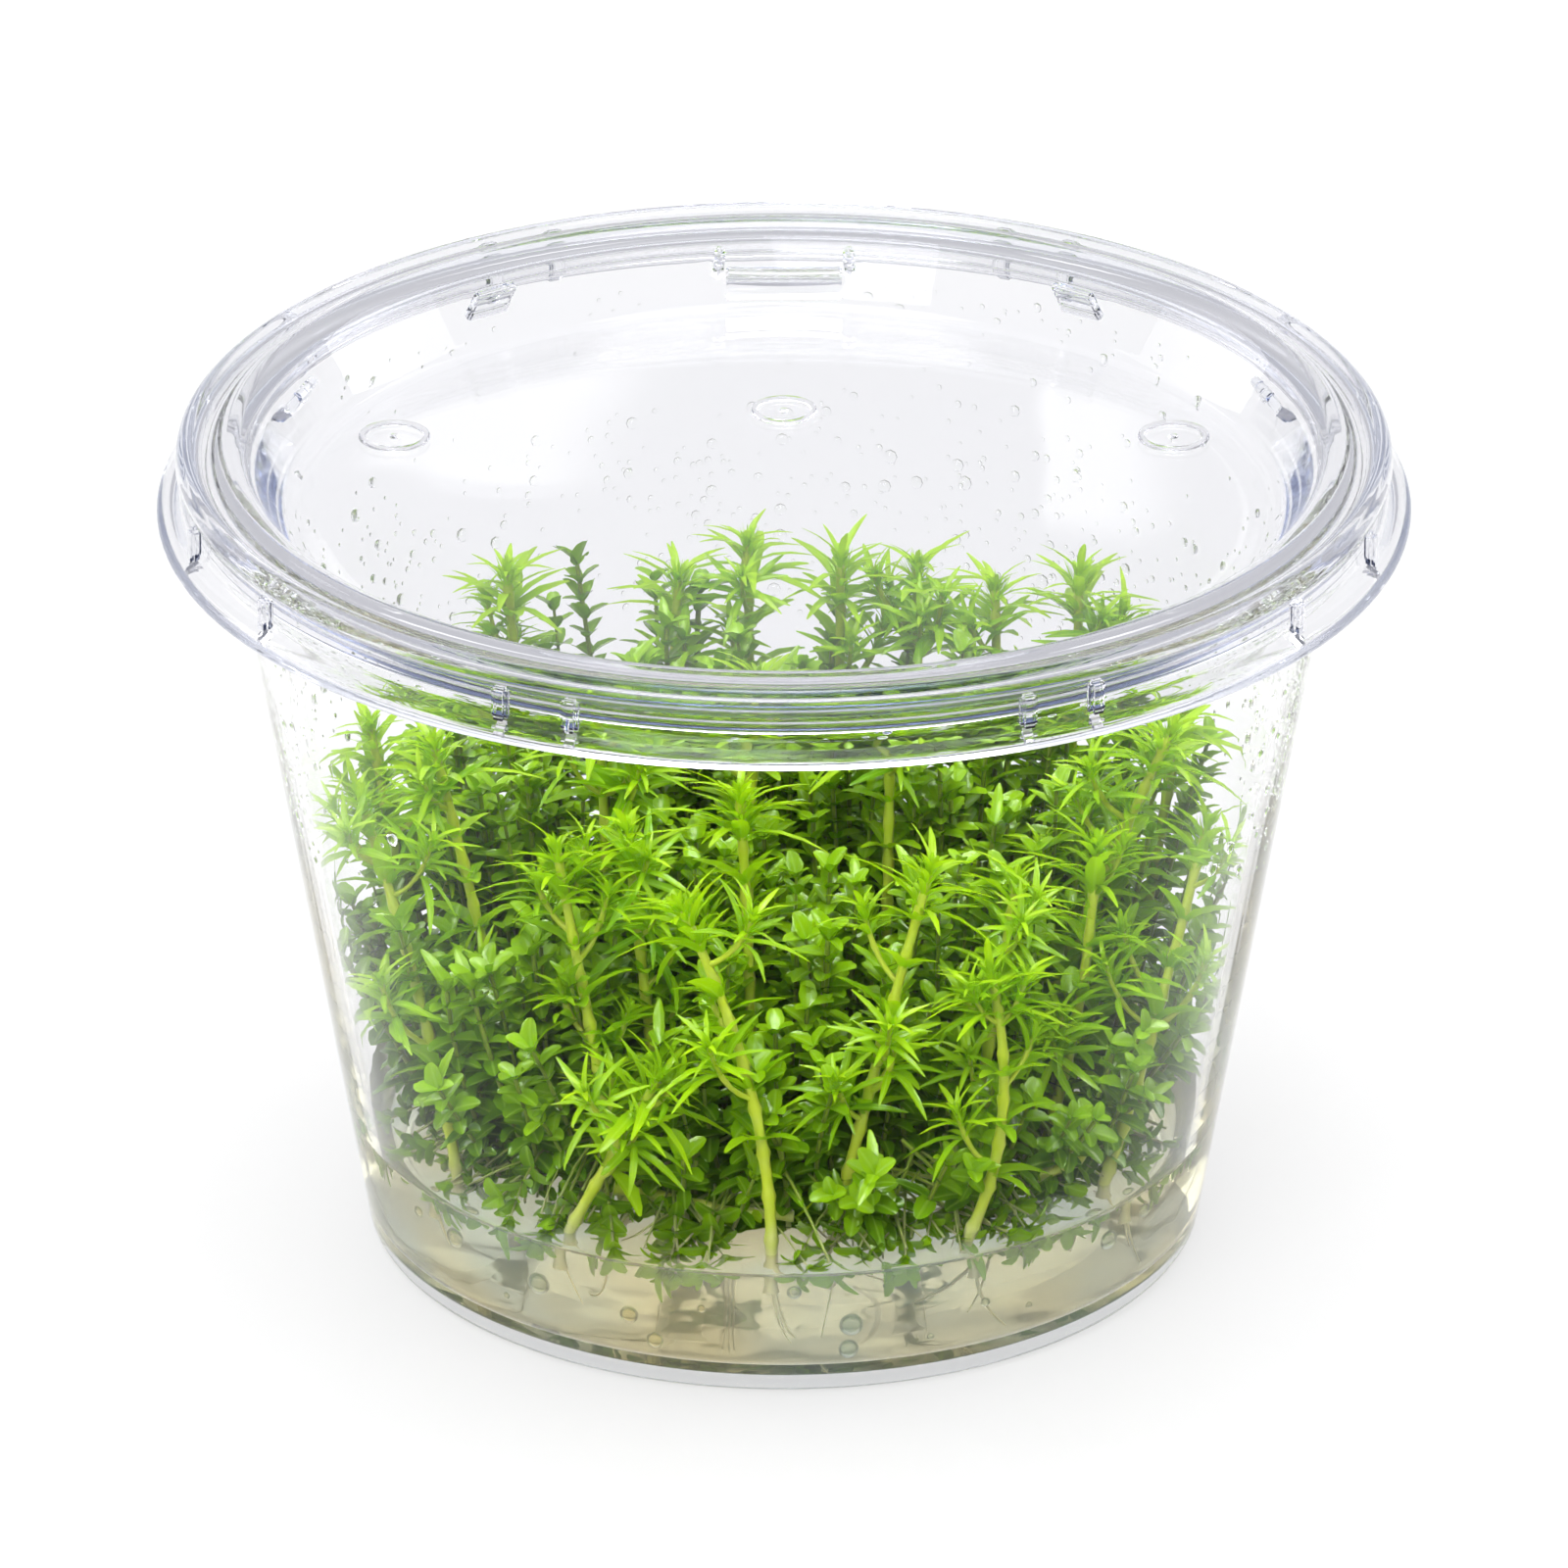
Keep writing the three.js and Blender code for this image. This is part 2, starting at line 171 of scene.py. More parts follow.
def add_camera():
    camera = bpy.data.objects.new("camera", bpy.data.cameras.new("camera"))
    scene.collection.objects.link(camera)
    camera.location = (
        0.0,
        -CAMERA_DISTANCE * math.cos(CAMERA_ELEVATION),
        CAMERA_AIM_HEIGHT + CAMERA_DISTANCE * math.sin(CAMERA_ELEVATION),
    )
    camera.rotation_euler = (math.pi / 2 - CAMERA_ELEVATION, 0.0, 0.0)
    camera.data.lens = CAMERA_LENS
    camera.data.sensor_width = FILM_WIDTH
    scene.camera = camera


def add_sky():
    world = bpy.data.worlds.new("white_studio")
    world.use_nodes = True
    world.cycles.sampling_method = "NONE"
    scene.world = world
    maker = Maker(world.node_tree)
    _, depth, height = maker.split(maker.wire("ShaderNodeTexCoord", output="Generated"))
    behind = depth.ramp(0.3, 0.8)
    high = height.ramp(0.4, 0.85)
    overhead = height.ramp(0.92, 0.96)
    low_sky = maker.mix(behind, SKY_LOW, SKY_BACK)
    background = world.node_tree.nodes["Background"]
    maker.feed(background.inputs["Color"], maker.mix(high, low_sky, SKY_TOP))
    maker.feed(background.inputs["Strength"], overhead * OVERHEAD_STRENGTH + SKY_STRENGTH)


def add_lamps():
    for name, (place, side, watts) in LAMPS.items():
        lamp = bpy.data.lights.new(name, "AREA")
        lamp.size = side
        lamp.energy = watts
        holder = bpy.data.objects.new(name, lamp)
        scene.collection.objects.link(holder)
        holder.location = place
        holder.rotation_euler = Vector(place).to_track_quat("Z", "Y").to_euler()


def glowing_sheet(name, corners, material, place=(0.0, 0.0, 0.0)):
    """A flat sheet of the studio. Its glow is seen, but no light is cast from it on purpose."""
    mesh = bpy.data.meshes.new(name)
    mesh.from_pydata(corners, [], [(0, 1, 2, 3)])
    mesh.materials.append(material)
    material.cycles.emission_sampling = "NONE"
    sheet = bpy.data.objects.new(name, mesh)
    sheet.location = place
    scene.collection.objects.link(sheet)
    return sheet


def add_table():
    side = TABLE_SIDE / 2
    material, _, _ = new_material("white_table", {
        "Base Color": (*TABLE_WHITE, 1.0),
        "Roughness": 0.6,
        "Emission Color": (1.0, 1.0, 1.0, 1.0),
        "Emission Strength": TABLE_GLOW,
    })
    corners = [(-side, -side, 0), (side, -side, 0), (side, side, 0), (-side, side, 0)]
    table = glowing_sheet("table", corners, material)


def add_window():
    """Two softly lit panes behind the cup, out of the picture, that the flat of the lid mirrors."""
    material, maker, _ = new_material("window_glow", {})
    x, _, z = maker.split(maker.wire("ShaderNodeTexCoord", output="Object"))
    slanted = x + z * 0.5
    left_pane = slanted.ramp(-0.056, -0.047) * (1.0 - slanted.ramp(-0.032, -0.016))
    left_pane = left_pane * (1.0 - z.ramp(0.008, 0.010))
    right_pane = x.ramp(0.034, 0.036) * (1.0 - x.ramp(0.043, 0.056))
    right_pane = right_pane * (1.0 - z.ramp(0.013, 0.020))
    panes = left_pane.math("MAXIMUM", right_pane) * z.ramp(-0.020, -0.012)
    glow = maker.wire("ShaderNodeEmission", {"Strength": WINDOW_GLOW})
    clear = maker.wire("ShaderNodeBsdfTransparent")
    shown = maker.wire("ShaderNodeMixShader", {0: panes, 1: clear, 2: glow})
    maker.feed(material.node_tree.nodes["Material Output"].inputs["Surface"], shown)
    width = WINDOW_SIZE[0] / 2
    height = WINDOW_SIZE[1] / 2
    corners = [(-width, 0, -height), (width, 0, -height), (width, 0, height), (-width, 0, height)]
    window = glowing_sheet("window", corners, material, WINDOW_PLACE)


scene.view_settings.view_transform = "Standard"
scene.cycles.max_bounces = LIGHT_BOUNCES
scene.cycles.glossy_bounces = LIGHT_BOUNCES
scene.cycles.transmission_bounces = LIGHT_BOUNCES
scene.cycles.diffuse_bounces = LEAF_BOUNCES
add_camera()
add_sky()
add_lamps()
add_window()
add_table()


# The cup: a tapered tub of clear plastic, moulded in one piece with a foot ring and a flange at its mouth.
# Its wall is polished inside and out, with the faint waves that a thin moulding has.
BASE_RADIUS = 33.4 * MM
WALL_TAPER = 0.173  # how far the wall leans out for each unit of height
WALL = 1.0 * MM
FLOOR_TOP = 2.0 * MM
FLANGE_RADIUS = 46.8 * MM
FLANGE_TOP = 66.5 * MM
CUP_CLEAR = (0.985, 0.985, 0.99)
# The foot's grey is painted shade, for the dark line where the cup stands on the table.
CUP_FOOT_PAINTED_SHADE = (0.85, 0.86, 0.875)
ROUND_SEGMENTS = 144


def outer_wall(height):
    return BASE_RADIUS + WALL_TAPER * height


def inner_wall(height):
    return outer_wall(height) - WALL


def rounded(profile, steps=3):
    """A profile of (radius, height, corner radius in mm) with each corner turned into an arc."""
    points = []
    for place, (radius, height, corner) in enumerate(profile):
        here = Vector((radius, height))
        if corner == 0 or place in (0, len(profile) - 1):
            points.append(here)
            continue
        before = Vector(profile[place - 1][:2]) - here
        after = Vector(profile[place + 1][:2]) - here
        reach = min(corner * MM, before.length * 0.48, after.length * 0.48)
        start = here + before.normalized() * reach
        end = here + after.normalized() * reach
        for step in range(steps + 1):
            t = step / steps
            points.append(start * (1 - t) ** 2 + here * 2 * t * (1 - t) + end * t ** 2)
    return points


def mesh_of(name, build):
    """The mesh of what was built."""
    mesh = bpy.data.meshes.new(name)
    build.to_mesh(mesh)
    build.free()
    return mesh


def turned(name, profile, segments=ROUND_SEGMENTS):
    """A mesh made by turning a profile about the Z axis. Points on the axis close it."""
    build = bmesh.new()
    rings = []
    for radius, height in profile:
        if radius < 1e-7:
            rings.append([build.verts.new((0, 0, height))] * segments)
            continue
        angles = [2 * math.pi * i / segments for i in range(segments)]
        spots = [(radius * math.cos(angle), radius * math.sin(angle), height) for angle in angles]
        rings.append([build.verts.new(spot) for spot in spots])
    for low, high in zip(rings, rings[1:]):
        for i in range(segments):
            j = (i + 1) % segments
            corners = list(dict.fromkeys((low[i], low[j], high[j], high[i])))
            if len(corners) > 2:
                build.faces.new(corners)
    bmesh.ops.recalc_face_normals(build, faces=build.faces)
    mesh = mesh_of(name, build)
    mesh.shade_smooth()
    return mesh


def add_piece(name, mesh, material=None):
    piece = bpy.data.objects.new(name, mesh)
    scene.collection.objects.link(piece)
    if material:
        mesh.materials.append(material)
    return piece


def height_of(maker):
    """The height above the table of each spot on a piece."""
    return maker.split(maker.wire("ShaderNodeTexCoord", output="Object"))[2]


def clear_plastic(name, colour, index, sheen, wave_scale, wave_height, foot_painted_shade=None):
    """Polished clear plastic with slow waves in its faces. The foot's colour, if given, is painted
    shade: it greys the plastic near the table for the dark line where the cup stands on it."""
    material, maker, shader = new_material(name, {
        "Base Color": (*colour, 1.0),
        "Roughness": 0.0,
        "IOR": index,
        "Transmission Weight": 1.0,
        "Specular Tint": (sheen, sheen, sheen * 1.1, 1.0),
    })
    bump = maker.wire("ShaderNodeBump", {
        "Height": maker.noise(wave_scale, 0.0), "Strength": 1.0, "Distance": wave_height,
    })
    maker.feed(shader.inputs["Normal"], bump)
    # Painted shade: the plastic is greyed near the table.
    if foot_painted_shade:
        above_foot_shade = height_of(maker).ramp(1.4 * MM, 2.4 * MM)
        maker.feed(shader.inputs["Base Color"], maker.mix(above_foot_shade, foot_painted_shade, colour))
    return material


cup_plastic = clear_plastic("clear_cup_plastic", CUP_CLEAR, index=1.18, sheen=0.0, wave_scale=90.0,
                            wave_height=0.01 * MM, foot_painted_shade=CUP_FOOT_PAINTED_SHADE)
# The profile runs from the middle of the underside out over the foot ring, up the outer face, round the
# flange and back down the inner face to the middle of the floor.
cup_profile = rounded([
    (0, 0.8 * MM, 0),
    (30.6 * MM, 0.8 * MM, 0.4),
    (31.4 * MM, 0, 0.3),
    (32.6 * MM, 0, 0.5),
    (outer_wall(0.9 * MM), 0.9 * MM, 0.8),
    (outer_wall(FLANGE_TOP - 1.9 * MM), FLANGE_TOP - 1.9 * MM, 0.5),
    (FLANGE_RADIUS - 0.8 * MM, FLANGE_TOP - 1.6 * MM, 0.2),
    (FLANGE_RADIUS - 0.7 * MM, FLANGE_TOP - 2.4 * MM, 0.2),
    (FLANGE_RADIUS, FLANGE_TOP - 2.4 * MM, 0.3),
    (FLANGE_RADIUS, FLANGE_TOP, 0.6),
    (inner_wall(FLANGE_TOP) - 0.2 * MM, FLANGE_TOP, 0.6),
    (inner_wall(FLOOR_TOP), FLOOR_TOP, 2.2),
    (0, FLOOR_TOP, 0),
])
cup = add_piece("cup_moulding", turned("cup_moulding", cup_profile), cup_plastic)
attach(cup, "root")
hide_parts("cup")


# The lid: one clear moulding that snaps over the cup's flange. A sunk flat panel, a sloping inner wall,
# two raised rings with a flat between them, and a ribbed skirt that turns out to a lip.
LID_RADIUS = 50 * MM
LID_TOP = 68.5 * MM
PANEL_TOP = 62.2 * MM
LID_WALL = 0.8 * MM
WALL_LEAN = -0.55
LID_CLEAR = (0.885, 0.885, 0.90)
PLASTIC_TINT = (0.82, 0.845, 0.91)
# Angles are in degrees from the front. Blocks are width, thickness and height in mm.
SKIRT_RIB = (1.4, 1.0, 4.3)
SKIRT_RIB_ANGLES = (-74, -57, -27, -20, 23, 30, 56, 73, 104, 123, 151, 158, 203, 210, 236, 257)
LUG = (3.8, 0.8, 3.4)
LUG_ANGLES = (110, 145, 215, 250)
TAB_PLATE = (9.4, 1.3, 3.2)
TAB_RIDGE = (0.9, 1.1, 3.6)
TAB_ANGLE = 180
TAB_RIDGE_OFFSET = 7.4
# The place of each round mark on the panel and its radius, in mm.
VENT_MARKS = ((0, 19.3, 2.4), (-31.3, 14.2, 2.6), (31.3, 14.2, 2.6))
VENT_TUBE = 0.3 * MM


def block_at(degrees, radius, height, size, lean=0.0, bevel=0.25):
    """A box with soft edges, in mm, that stands at an angle from the front and leans outwards."""
    build = bmesh.new()
    bmesh.ops.create_cube(build, size=1.0)
    bmesh.ops.scale(build, vec=[side * MM for side in size], verts=build.verts)
    bmesh.ops.bevel(build, geom=build.edges[:], offset=bevel * MM, segments=2, affect="EDGES")
    mesh = mesh_of("block", build)
    turn = math.radians(degrees)
    place = (Matrix.Rotation(turn, 4, "Z") @ Matrix.Translation((0, -radius * MM, height * MM))
             @ Matrix.Rotation(lean, 4, "X"))
    mesh.transform(place)
    return mesh


def tint_depth(material, colour, density):
    """Absorbs light along its way through the material."""
    maker = Maker(material.node_tree)
    tint = maker.wire("ShaderNodeVolumeAbsorption", {"Color": (*colour, 1.0), "Density": density})
    maker.feed(material.node_tree.nodes["Material Output"].inputs["Volume"], tint)


lid_plastic = clear_plastic("clear_lid_plastic", LID_CLEAR, index=1.37, sheen=0.3, wave_scale=70.0,
                            wave_height=0.012 * MM)
tint_depth(lid_plastic, PLASTIC_TINT, density=110.0)
# The profile runs along the underside from the panel's middle to the lip, and back over the rings on top.
# A ring of points near the panel's edge keeps the panel flat for its mirror images.
lid_profile = rounded([
    (0, PANEL_TOP - LID_WALL, 0),
    (36.0 * MM, PANEL_TOP - LID_WALL, 0),
    (40.3 * MM, PANEL_TOP - LID_WALL, 1.0),
    (42.3 * MM, 66.4 * MM, 0.8),
    (43.2 * MM, 67.0 * MM, 0.5),
    (47.2 * MM, 67.1 * MM, 0.5),
    (47.2 * MM, 64.0 * MM, 0.5),
    (48.6 * MM, 62.3 * MM, 0.3),
    (49.9 * MM, 62.3 * MM, 0.4),
    (LID_RADIUS, 63.0 * MM, 0.3),
    (49.1 * MM, 63.7 * MM, 0.3),
    (48.0 * MM, 64.2 * MM, 0.4),
    (48.0 * MM, 66.4 * MM, 0.4),
    (48.5 * MM, 66.9 * MM, 0.3),
    (48.3 * MM, 68.0 * MM, 0.5),
    (47.4 * MM, LID_TOP, 0.5),
    (46.7 * MM, 67.9 * MM, 0.4),
    (45.5 * MM, 67.9 * MM, 0.4),
    (44.8 * MM, LID_TOP, 0.5),
    (43.1 * MM, 67.9 * MM, 0.8),
    (39.6 * MM, PANEL_TOP, 1.2),
    (36.0 * MM, PANEL_TOP, 0),
    (0, PANEL_TOP, 0),
])


def joined(name, meshes):
    """One mesh of several."""
    build = bmesh.new()
    for mesh in meshes:
        build.from_mesh(mesh)
    return mesh_of(name, build)


def evaluated(holder, name):
    """The plain mesh that an object's modifiers make. The object is removed."""
    depsgraph = bpy.context.evaluated_depsgraph_get()
    mesh = bpy.data.meshes.new_from_object(holder.evaluated_get(depsgraph))
    mesh.name = name
    bpy.data.objects.remove(holder)
    return mesh


def fused(name, body, added):
    """A body with blocks grown into it as one solid."""
    main = add_piece(name, body)
    extra = add_piece(name + "_added", joined(name + "_added", added))
    union = main.modifiers.new("union", "BOOLEAN")
    union.operation = "UNION"
    union.solver = "EXACT"
    union.object = extra
    mesh = evaluated(main, name)
    bpy.data.objects.remove(extra)
    mesh.shade_smooth()
    mesh.set_sharp_from_angle(angle=math.radians(38))
    return mesh


def vent_mark(x, y, radius):
    """A raised hoop with a small nub at its centre, as a punch leaves on the panel."""
    angles = [i * math.pi / 4 for i in range(9)]
    hoop = turned("hoop", [
        (radius * MM + VENT_TUBE * math.cos(angle), PANEL_TOP + VENT_TUBE * math.sin(angle))
        for angle in angles
    ], segments=48)
    nub = turned("nub", [
        (0, PANEL_TOP - 0.1 * MM),
        (0.4 * MM, PANEL_TOP - 0.1 * MM),
        (0.3 * MM, PANEL_TOP + 0.15 * MM),
        (0, PANEL_TOP + 0.2 * MM),
    ], segments=16)
    for mesh in (hoop, nub):
        mesh.transform(Matrix.Translation((x * MM, y * MM, 0)))
    return [hoop, nub]


lid_blocks = [block_at(angle, 48.4, 64.4, SKIRT_RIB, bevel=0.3) for angle in SKIRT_RIB_ANGLES]
lid_blocks += [block_at(angle, 41.6, 65.3, LUG, WALL_LEAN, 0.15) for angle in LUG_ANGLES]
for offset in (-TAB_RIDGE_OFFSET, TAB_RIDGE_OFFSET):
    lid_blocks.append(block_at(TAB_ANGLE + offset, 41.5, 65.7, TAB_RIDGE, WALL_LEAN))
lid_blocks.append(block_at(TAB_ANGLE, 40.6, 64.1, TAB_PLATE, WALL_LEAN, 0.15))
lid_body = fused("lid_moulding", turned("lid_body", lid_profile), lid_blocks)
lid_marks = [mesh for mark in VENT_MARKS for mesh in vent_mark(*mark)]
lid_mesh = joined("lid_moulding", [lid_body, *lid_marks])
lid = add_piece("lid_moulding", lid_mesh, lid_plastic)
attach(lid, "root")
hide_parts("lid")


# The gel: clear, pale yellow nutrient jelly that was poured into the cup and set there.
# It wets the wall, where its edge creeps up a little, and holds round bubbles near the glassy wall.
GEL_TOP = 10.5 * MM
WET = 0.04 * MM
GEL_TINT = (0.96, 0.88, 0.60)
GEL_CREAM = (1.0, 0.92, 0.60)
# The blue-grey of the gel's painted reflections.
GEL_REFLECTION_BLUE = (0.84, 0.92, 0.82)
# Each bubble's place across the front, its height and its radius, in mm.
GEL_BUBBLES = (
    (-25.2, 7.6, 0.85), (-18.9, 6.4, 0.95), (-12.0, 5.6, 0.75), (-10.0, 3.6, 0.7), (5.2, 5.6, 0.95),
    (5.0, 3.4, 0.8), (24.9, 7.6, 0.85), (0.8, 9.0, 0.6), (-28.0, 8.2, 0.5), (15.6, 6.0, 0.4),
    (27.6, 8.6, 0.6), (-6.4, 7.2, 0.35), (11.4, 3.8, 0.3), (19.0, 4.6, 0.3), (-21.5, 4.4, 0.3),
)

gel_jelly, gel_maker, gel_shader = new_material("nutrient_gel", {
    "Roughness": 0.0,
    "IOR": 1.34,
    "Transmission Weight": 0.82,
    "Specular Tint": (0.3, 0.3, 0.3, 1.0),
})
# Painted reflections: pale blue-grey patches of reflected sky mottle the gel's cream.
gel_reflection_patches = gel_maker.noise(70.0, 1.0).ramp(0.35, 0.65)
gel_maker.feed(gel_shader.inputs["Base Color"], gel_maker.mix(gel_reflection_patches, GEL_CREAM, GEL_REFLECTION_BLUE))
gel_bump = gel_maker.wire("ShaderNodeBump", {
    "Height": gel_maker.noise(120.0, 1.0), "Strength": 1.0, "Distance": 0.14 * MM,
})
gel_maker.feed(gel_shader.inputs["Normal"], gel_bump)
tint_depth(gel_jelly, GEL_TINT, density=12.0)
gel_profile = rounded([
    (0, FLOOR_TOP - WET, 0),
    (inner_wall(FLOOR_TOP) + WET, FLOOR_TOP - WET, 2.2),
    (inner_wall(GEL_TOP + 0.9 * MM) + WET, GEL_TOP + 0.9 * MM, 0.1),
    (inner_wall(GEL_TOP) - 1.2 * MM, GEL_TOP, 1.2),
    (0, GEL_TOP, 0),
])


def bubble(x, height, radius, depth=1.2):
    """A round hollow in the gel, close behind the front wall. Its faces point into the bubble."""
    build = bmesh.new()
    bmesh.ops.create_uvsphere(build, u_segments=20, v_segments=12, radius=radius * MM)
    bmesh.ops.reverse_faces(build, faces=build.faces)
    mesh = mesh_of("bubble", build)
    mesh.shade_smooth()
    reach = inner_wall(height * MM) - (radius + depth) * MM
    y = -math.sqrt(max(reach * reach - (x * MM) ** 2, 0.0))
    mesh.transform(Matrix.Translation((x * MM, y, height * MM)))
    return mesh


gel_mesh = joined("gel_disc", [turned("gel_body", gel_profile), *[bubble(*spot) for spot in GEL_BUBBLES]])
gel = add_piece("gel_disc", gel_mesh, gel_jelly)
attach(gel, "root")
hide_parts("gel")


# The tall shoots: tissue-cultured rotala stems, each grown from a root in the gel as one plant.
# A slim, yellow-green stem bears crossed whorls of narrow leaves and ends in a crown of fine ones,
# with side shoots from the leaf joints and thin cream roots below the gel's surface.
STEM_RADIUS = 0.5 * MM
STEM_POINTS = 14
STEM_BARE = 0.27  # the share of a stem, from its foot, that has no leaves
LEAFLESS = 2.0  # past the whole stem: a line with neither leaves nor joints
STEM_DEPTH = 2.5 * MM
ROOT_DEPTH = 1 * MM
SHOOT_LEAF = 5.3 * MM
SHOOT_PITCH = (0.55, 1.1)  # how far the leaves rise low and high on a shoot, in radians
LEAF_DROOP = 0.45
TIP_GAP = 2.4 * MM
WALL_CLEARANCE = 0.25 * MM
JOINT_SPACING = 3.6 * MM
# Each shoot: its foot on the gel, the point that its stem bends towards, and its tip, in mm.
SHOOTS = (
    ((-26, -15.5), (-28, -14, 24), (-34, -3, 38)),
    ((-21, -6), (-24, -5, 26), (-28, -2, 42)),
    ((-12.5, -21), (-15.5, -19.5, 26), (-18, -14, 38.5)),
    ((-9.5, -14.5), (-11, -14, 26), (-12.5, -10.5, 38.5)),
    ((-2.5, -13), (-2.5, -12, 25), (-3.5, -8, 40.5)),
    ((-1, -29), (-1, -27, 24), (-8, -21.5, 37)),
    ((4, -24.5), (7.5, -22, 25), (11.5, -17, 38)),
    ((14.5, -17), (16.5, -16.5, 24), (18.5, -12.5, 35)),
    ((20.5, -13), (24.5, -11.5, 24), (25, -7, 35.5)),
    ((18, -3.5), (24, -3.5, 28), (31, -0.5, 42.5)),
    ((25.5, -16.5), (30, -12.5, 23), (34, -2.5, 35)),
    ((14.5, -26.5), (19, -25.5, 20), (16.5, -21.5, 31)),
    ((-17, -25), (-14, -26, 17), (-10, -25.5, 24)),
    ((-29, 5), (-31, 6, 25), (-33.5, 7, 39.5)),
    ((-14, 1), (-14, 2, 27), (-15, 4, 43)),
    ((-3, 3), (-3.5, 3, 27), (-2, 5.5, 44)),
    ((8, 2), (8.5, 2.5, 27), (8.5, 4, 42)),
    ((28, 7), (30, 8, 26), (32.5, 9.5, 40)),
    ((-19.5, 20), (-21, 22.5, 26), (-22.5, 24, 45)),
    ((-9.5, 24), (-9.5, 26, 27), (-8.6, 27.5, 43)),
    ((-3.2, 27.5), (-2.6, 28, 27), (-3, 30, 45)),
    ((4.5, 24.5), (4.5, 26, 27), (4.6, 28, 44)),
    ((11.5, 25), (11, 28, 27), (10.8, 29.5, 43)),
    ((17, 20.5), (17.5, 23.5, 26), (17.2, 26.5, 42.5)),
    ((22.5, 16), (23.5, 19.5, 27), (24, 23.5, 45)),
)
SHOOT_GROUPS = {"tall_shoots_front": range(0, 13), "tall_shoots_back": range(13, 25)}


def bend_through(start, middle, end, count):
    """Points along the quadratic curve that starts and ends at two points and is pulled to a third."""
    start, middle, end = Vector(start), Vector(middle), Vector(end)
    shares = [i / (count - 1) for i in range(count)]
    return [start * (1 - t) ** 2 + middle * 2 * t * (1 - t) + end * t * t for t in shares]


class StemBed:
    """The lines that stems and roots grow along: edges, with a thickness at each point."""

    def __init__(self):
        self.points = []
        self.edges = []
        self.thickness = []
        self.bare = []

    def add(self, line, radius, taper=0.6, bare=0.0):
        """bare is the share of the line, from its foot, that has no leaves."""
        first = len(self.points)
        self.bare += [bare] * len(line)
        self.points += [tuple(point) for point in line]
        self.edges += [(first + i, first + i + 1) for i in range(len(line) - 1)]
        self.thickness += [radius * (1 - (1 - taper) * i / (len(line) - 1)) for i in range(len(line))]

    def to_object(self, name):
        mesh = bpy.data.meshes.new(name)
        mesh.from_pydata(self.points, self.edges, [])
        for attribute, values in (("thickness", self.thickness), ("bare", self.bare)):
            mesh.attributes.new(attribute, "FLOAT", "POINT").data.foreach_set("value", values)
        bed = bpy.data.objects.new(name, mesh)
        scene.collection.objects.link(bed)
        return bed


def named(maker, name, kind="FLOAT"):
    return maker.wire("GeometryNodeInputNamedAttribute", {"Name": name}, "Attribute", data_type=kind)


def store(maker, geometry, name, value, kind="FLOAT"):
    sockets = {"Geometry": geometry, "Name": name, "Value": value}
    return maker.wire("GeometryNodeStoreNamedAttribute", sockets, data_type=kind, domain="POINT")


def vector(maker, x, y, z):
    return maker.wire("ShaderNodeCombineXYZ", {"X": x, "Y": y, "Z": z})


def smooth(maker, geometry):
    return maker.wire("GeometryNodeSetShadeSmooth", {"Geometry": geometry})


def random_value(maker, low, high, seed):
    node = maker.node("FunctionNodeRandomValue", data_type="FLOAT")
    maker.feed(node.inputs[2], low)
    maker.feed(node.inputs[3], high)
    maker.feed(node.inputs["Seed"], seed)
    return Wire(maker, node.outputs[1])


def leaf_blade(maker, rows, shape, slimness, droop):
    """One leaf, a unit long, from the origin along Y: widest at its middle, blunt, creased at its midrib.
    shape 0.5 gives an oval and 1 a lance. slimness is half its width."""
    grid = maker.node("GeometryNodeMeshGrid",
                      {"Size X": 2.0, "Size Y": 1.0, "Vertices X": 3, "Vertices Y": rows + 1})
    side, middle_out, _ = maker.split(maker.wire("GeometryNodeInputPosition"))
    along = 0.5 - (middle_out + 0.5).math("MULTIPLY", math.pi).math("COSINE") * 0.5
    half_width = ((along * (1.0 - along) * 4.0).clamped(0.07) ** shape) * slimness
    across = side.math("ABSOLUTE")
    rise = across * half_width * 0.45 - along * along * droop
    flat = Wire(maker, grid.outputs["Mesh"])
    marked = store(maker, store(maker, flat, "across", across), "along_leaf", along)
    shaped = maker.wire("GeometryNodeSetPosition",
                        {"Geometry": marked, "Position": vector(maker, side * half_width, along, rise)})
    merged = maker.wire("GeometryNodeMergeByDistance", {"Geometry": shaped, "Distance": 0.001})
    return smooth(maker, merged)


def less_than(maker, low, high):
    sockets = {"A": low, "B": high}
    return maker.wire("FunctionNodeCompare", sockets, data_type="FLOAT", operation="LESS_THAN")


def turned_by(maker, rotation, axis, angle):
    """A rotation followed by a turn about one of its own axes."""
    turn = maker.wire("FunctionNodeAxisAngleToRotation", {"Axis": axis, "Angle": angle})
    sockets = {"Rotation": rotation, "Rotate By": turn}
    return maker.wire("FunctionNodeRotateRotation", sockets, rotation_space="LOCAL")


def without(maker, points, low, high):
    """Points, without those where one value is less than another."""
    sockets = {"Geometry": points, "Selection": less_than(maker, low, high)}
    return maker.wire("GeometryNodeDeleteGeometry", sockets, domain="POINT")


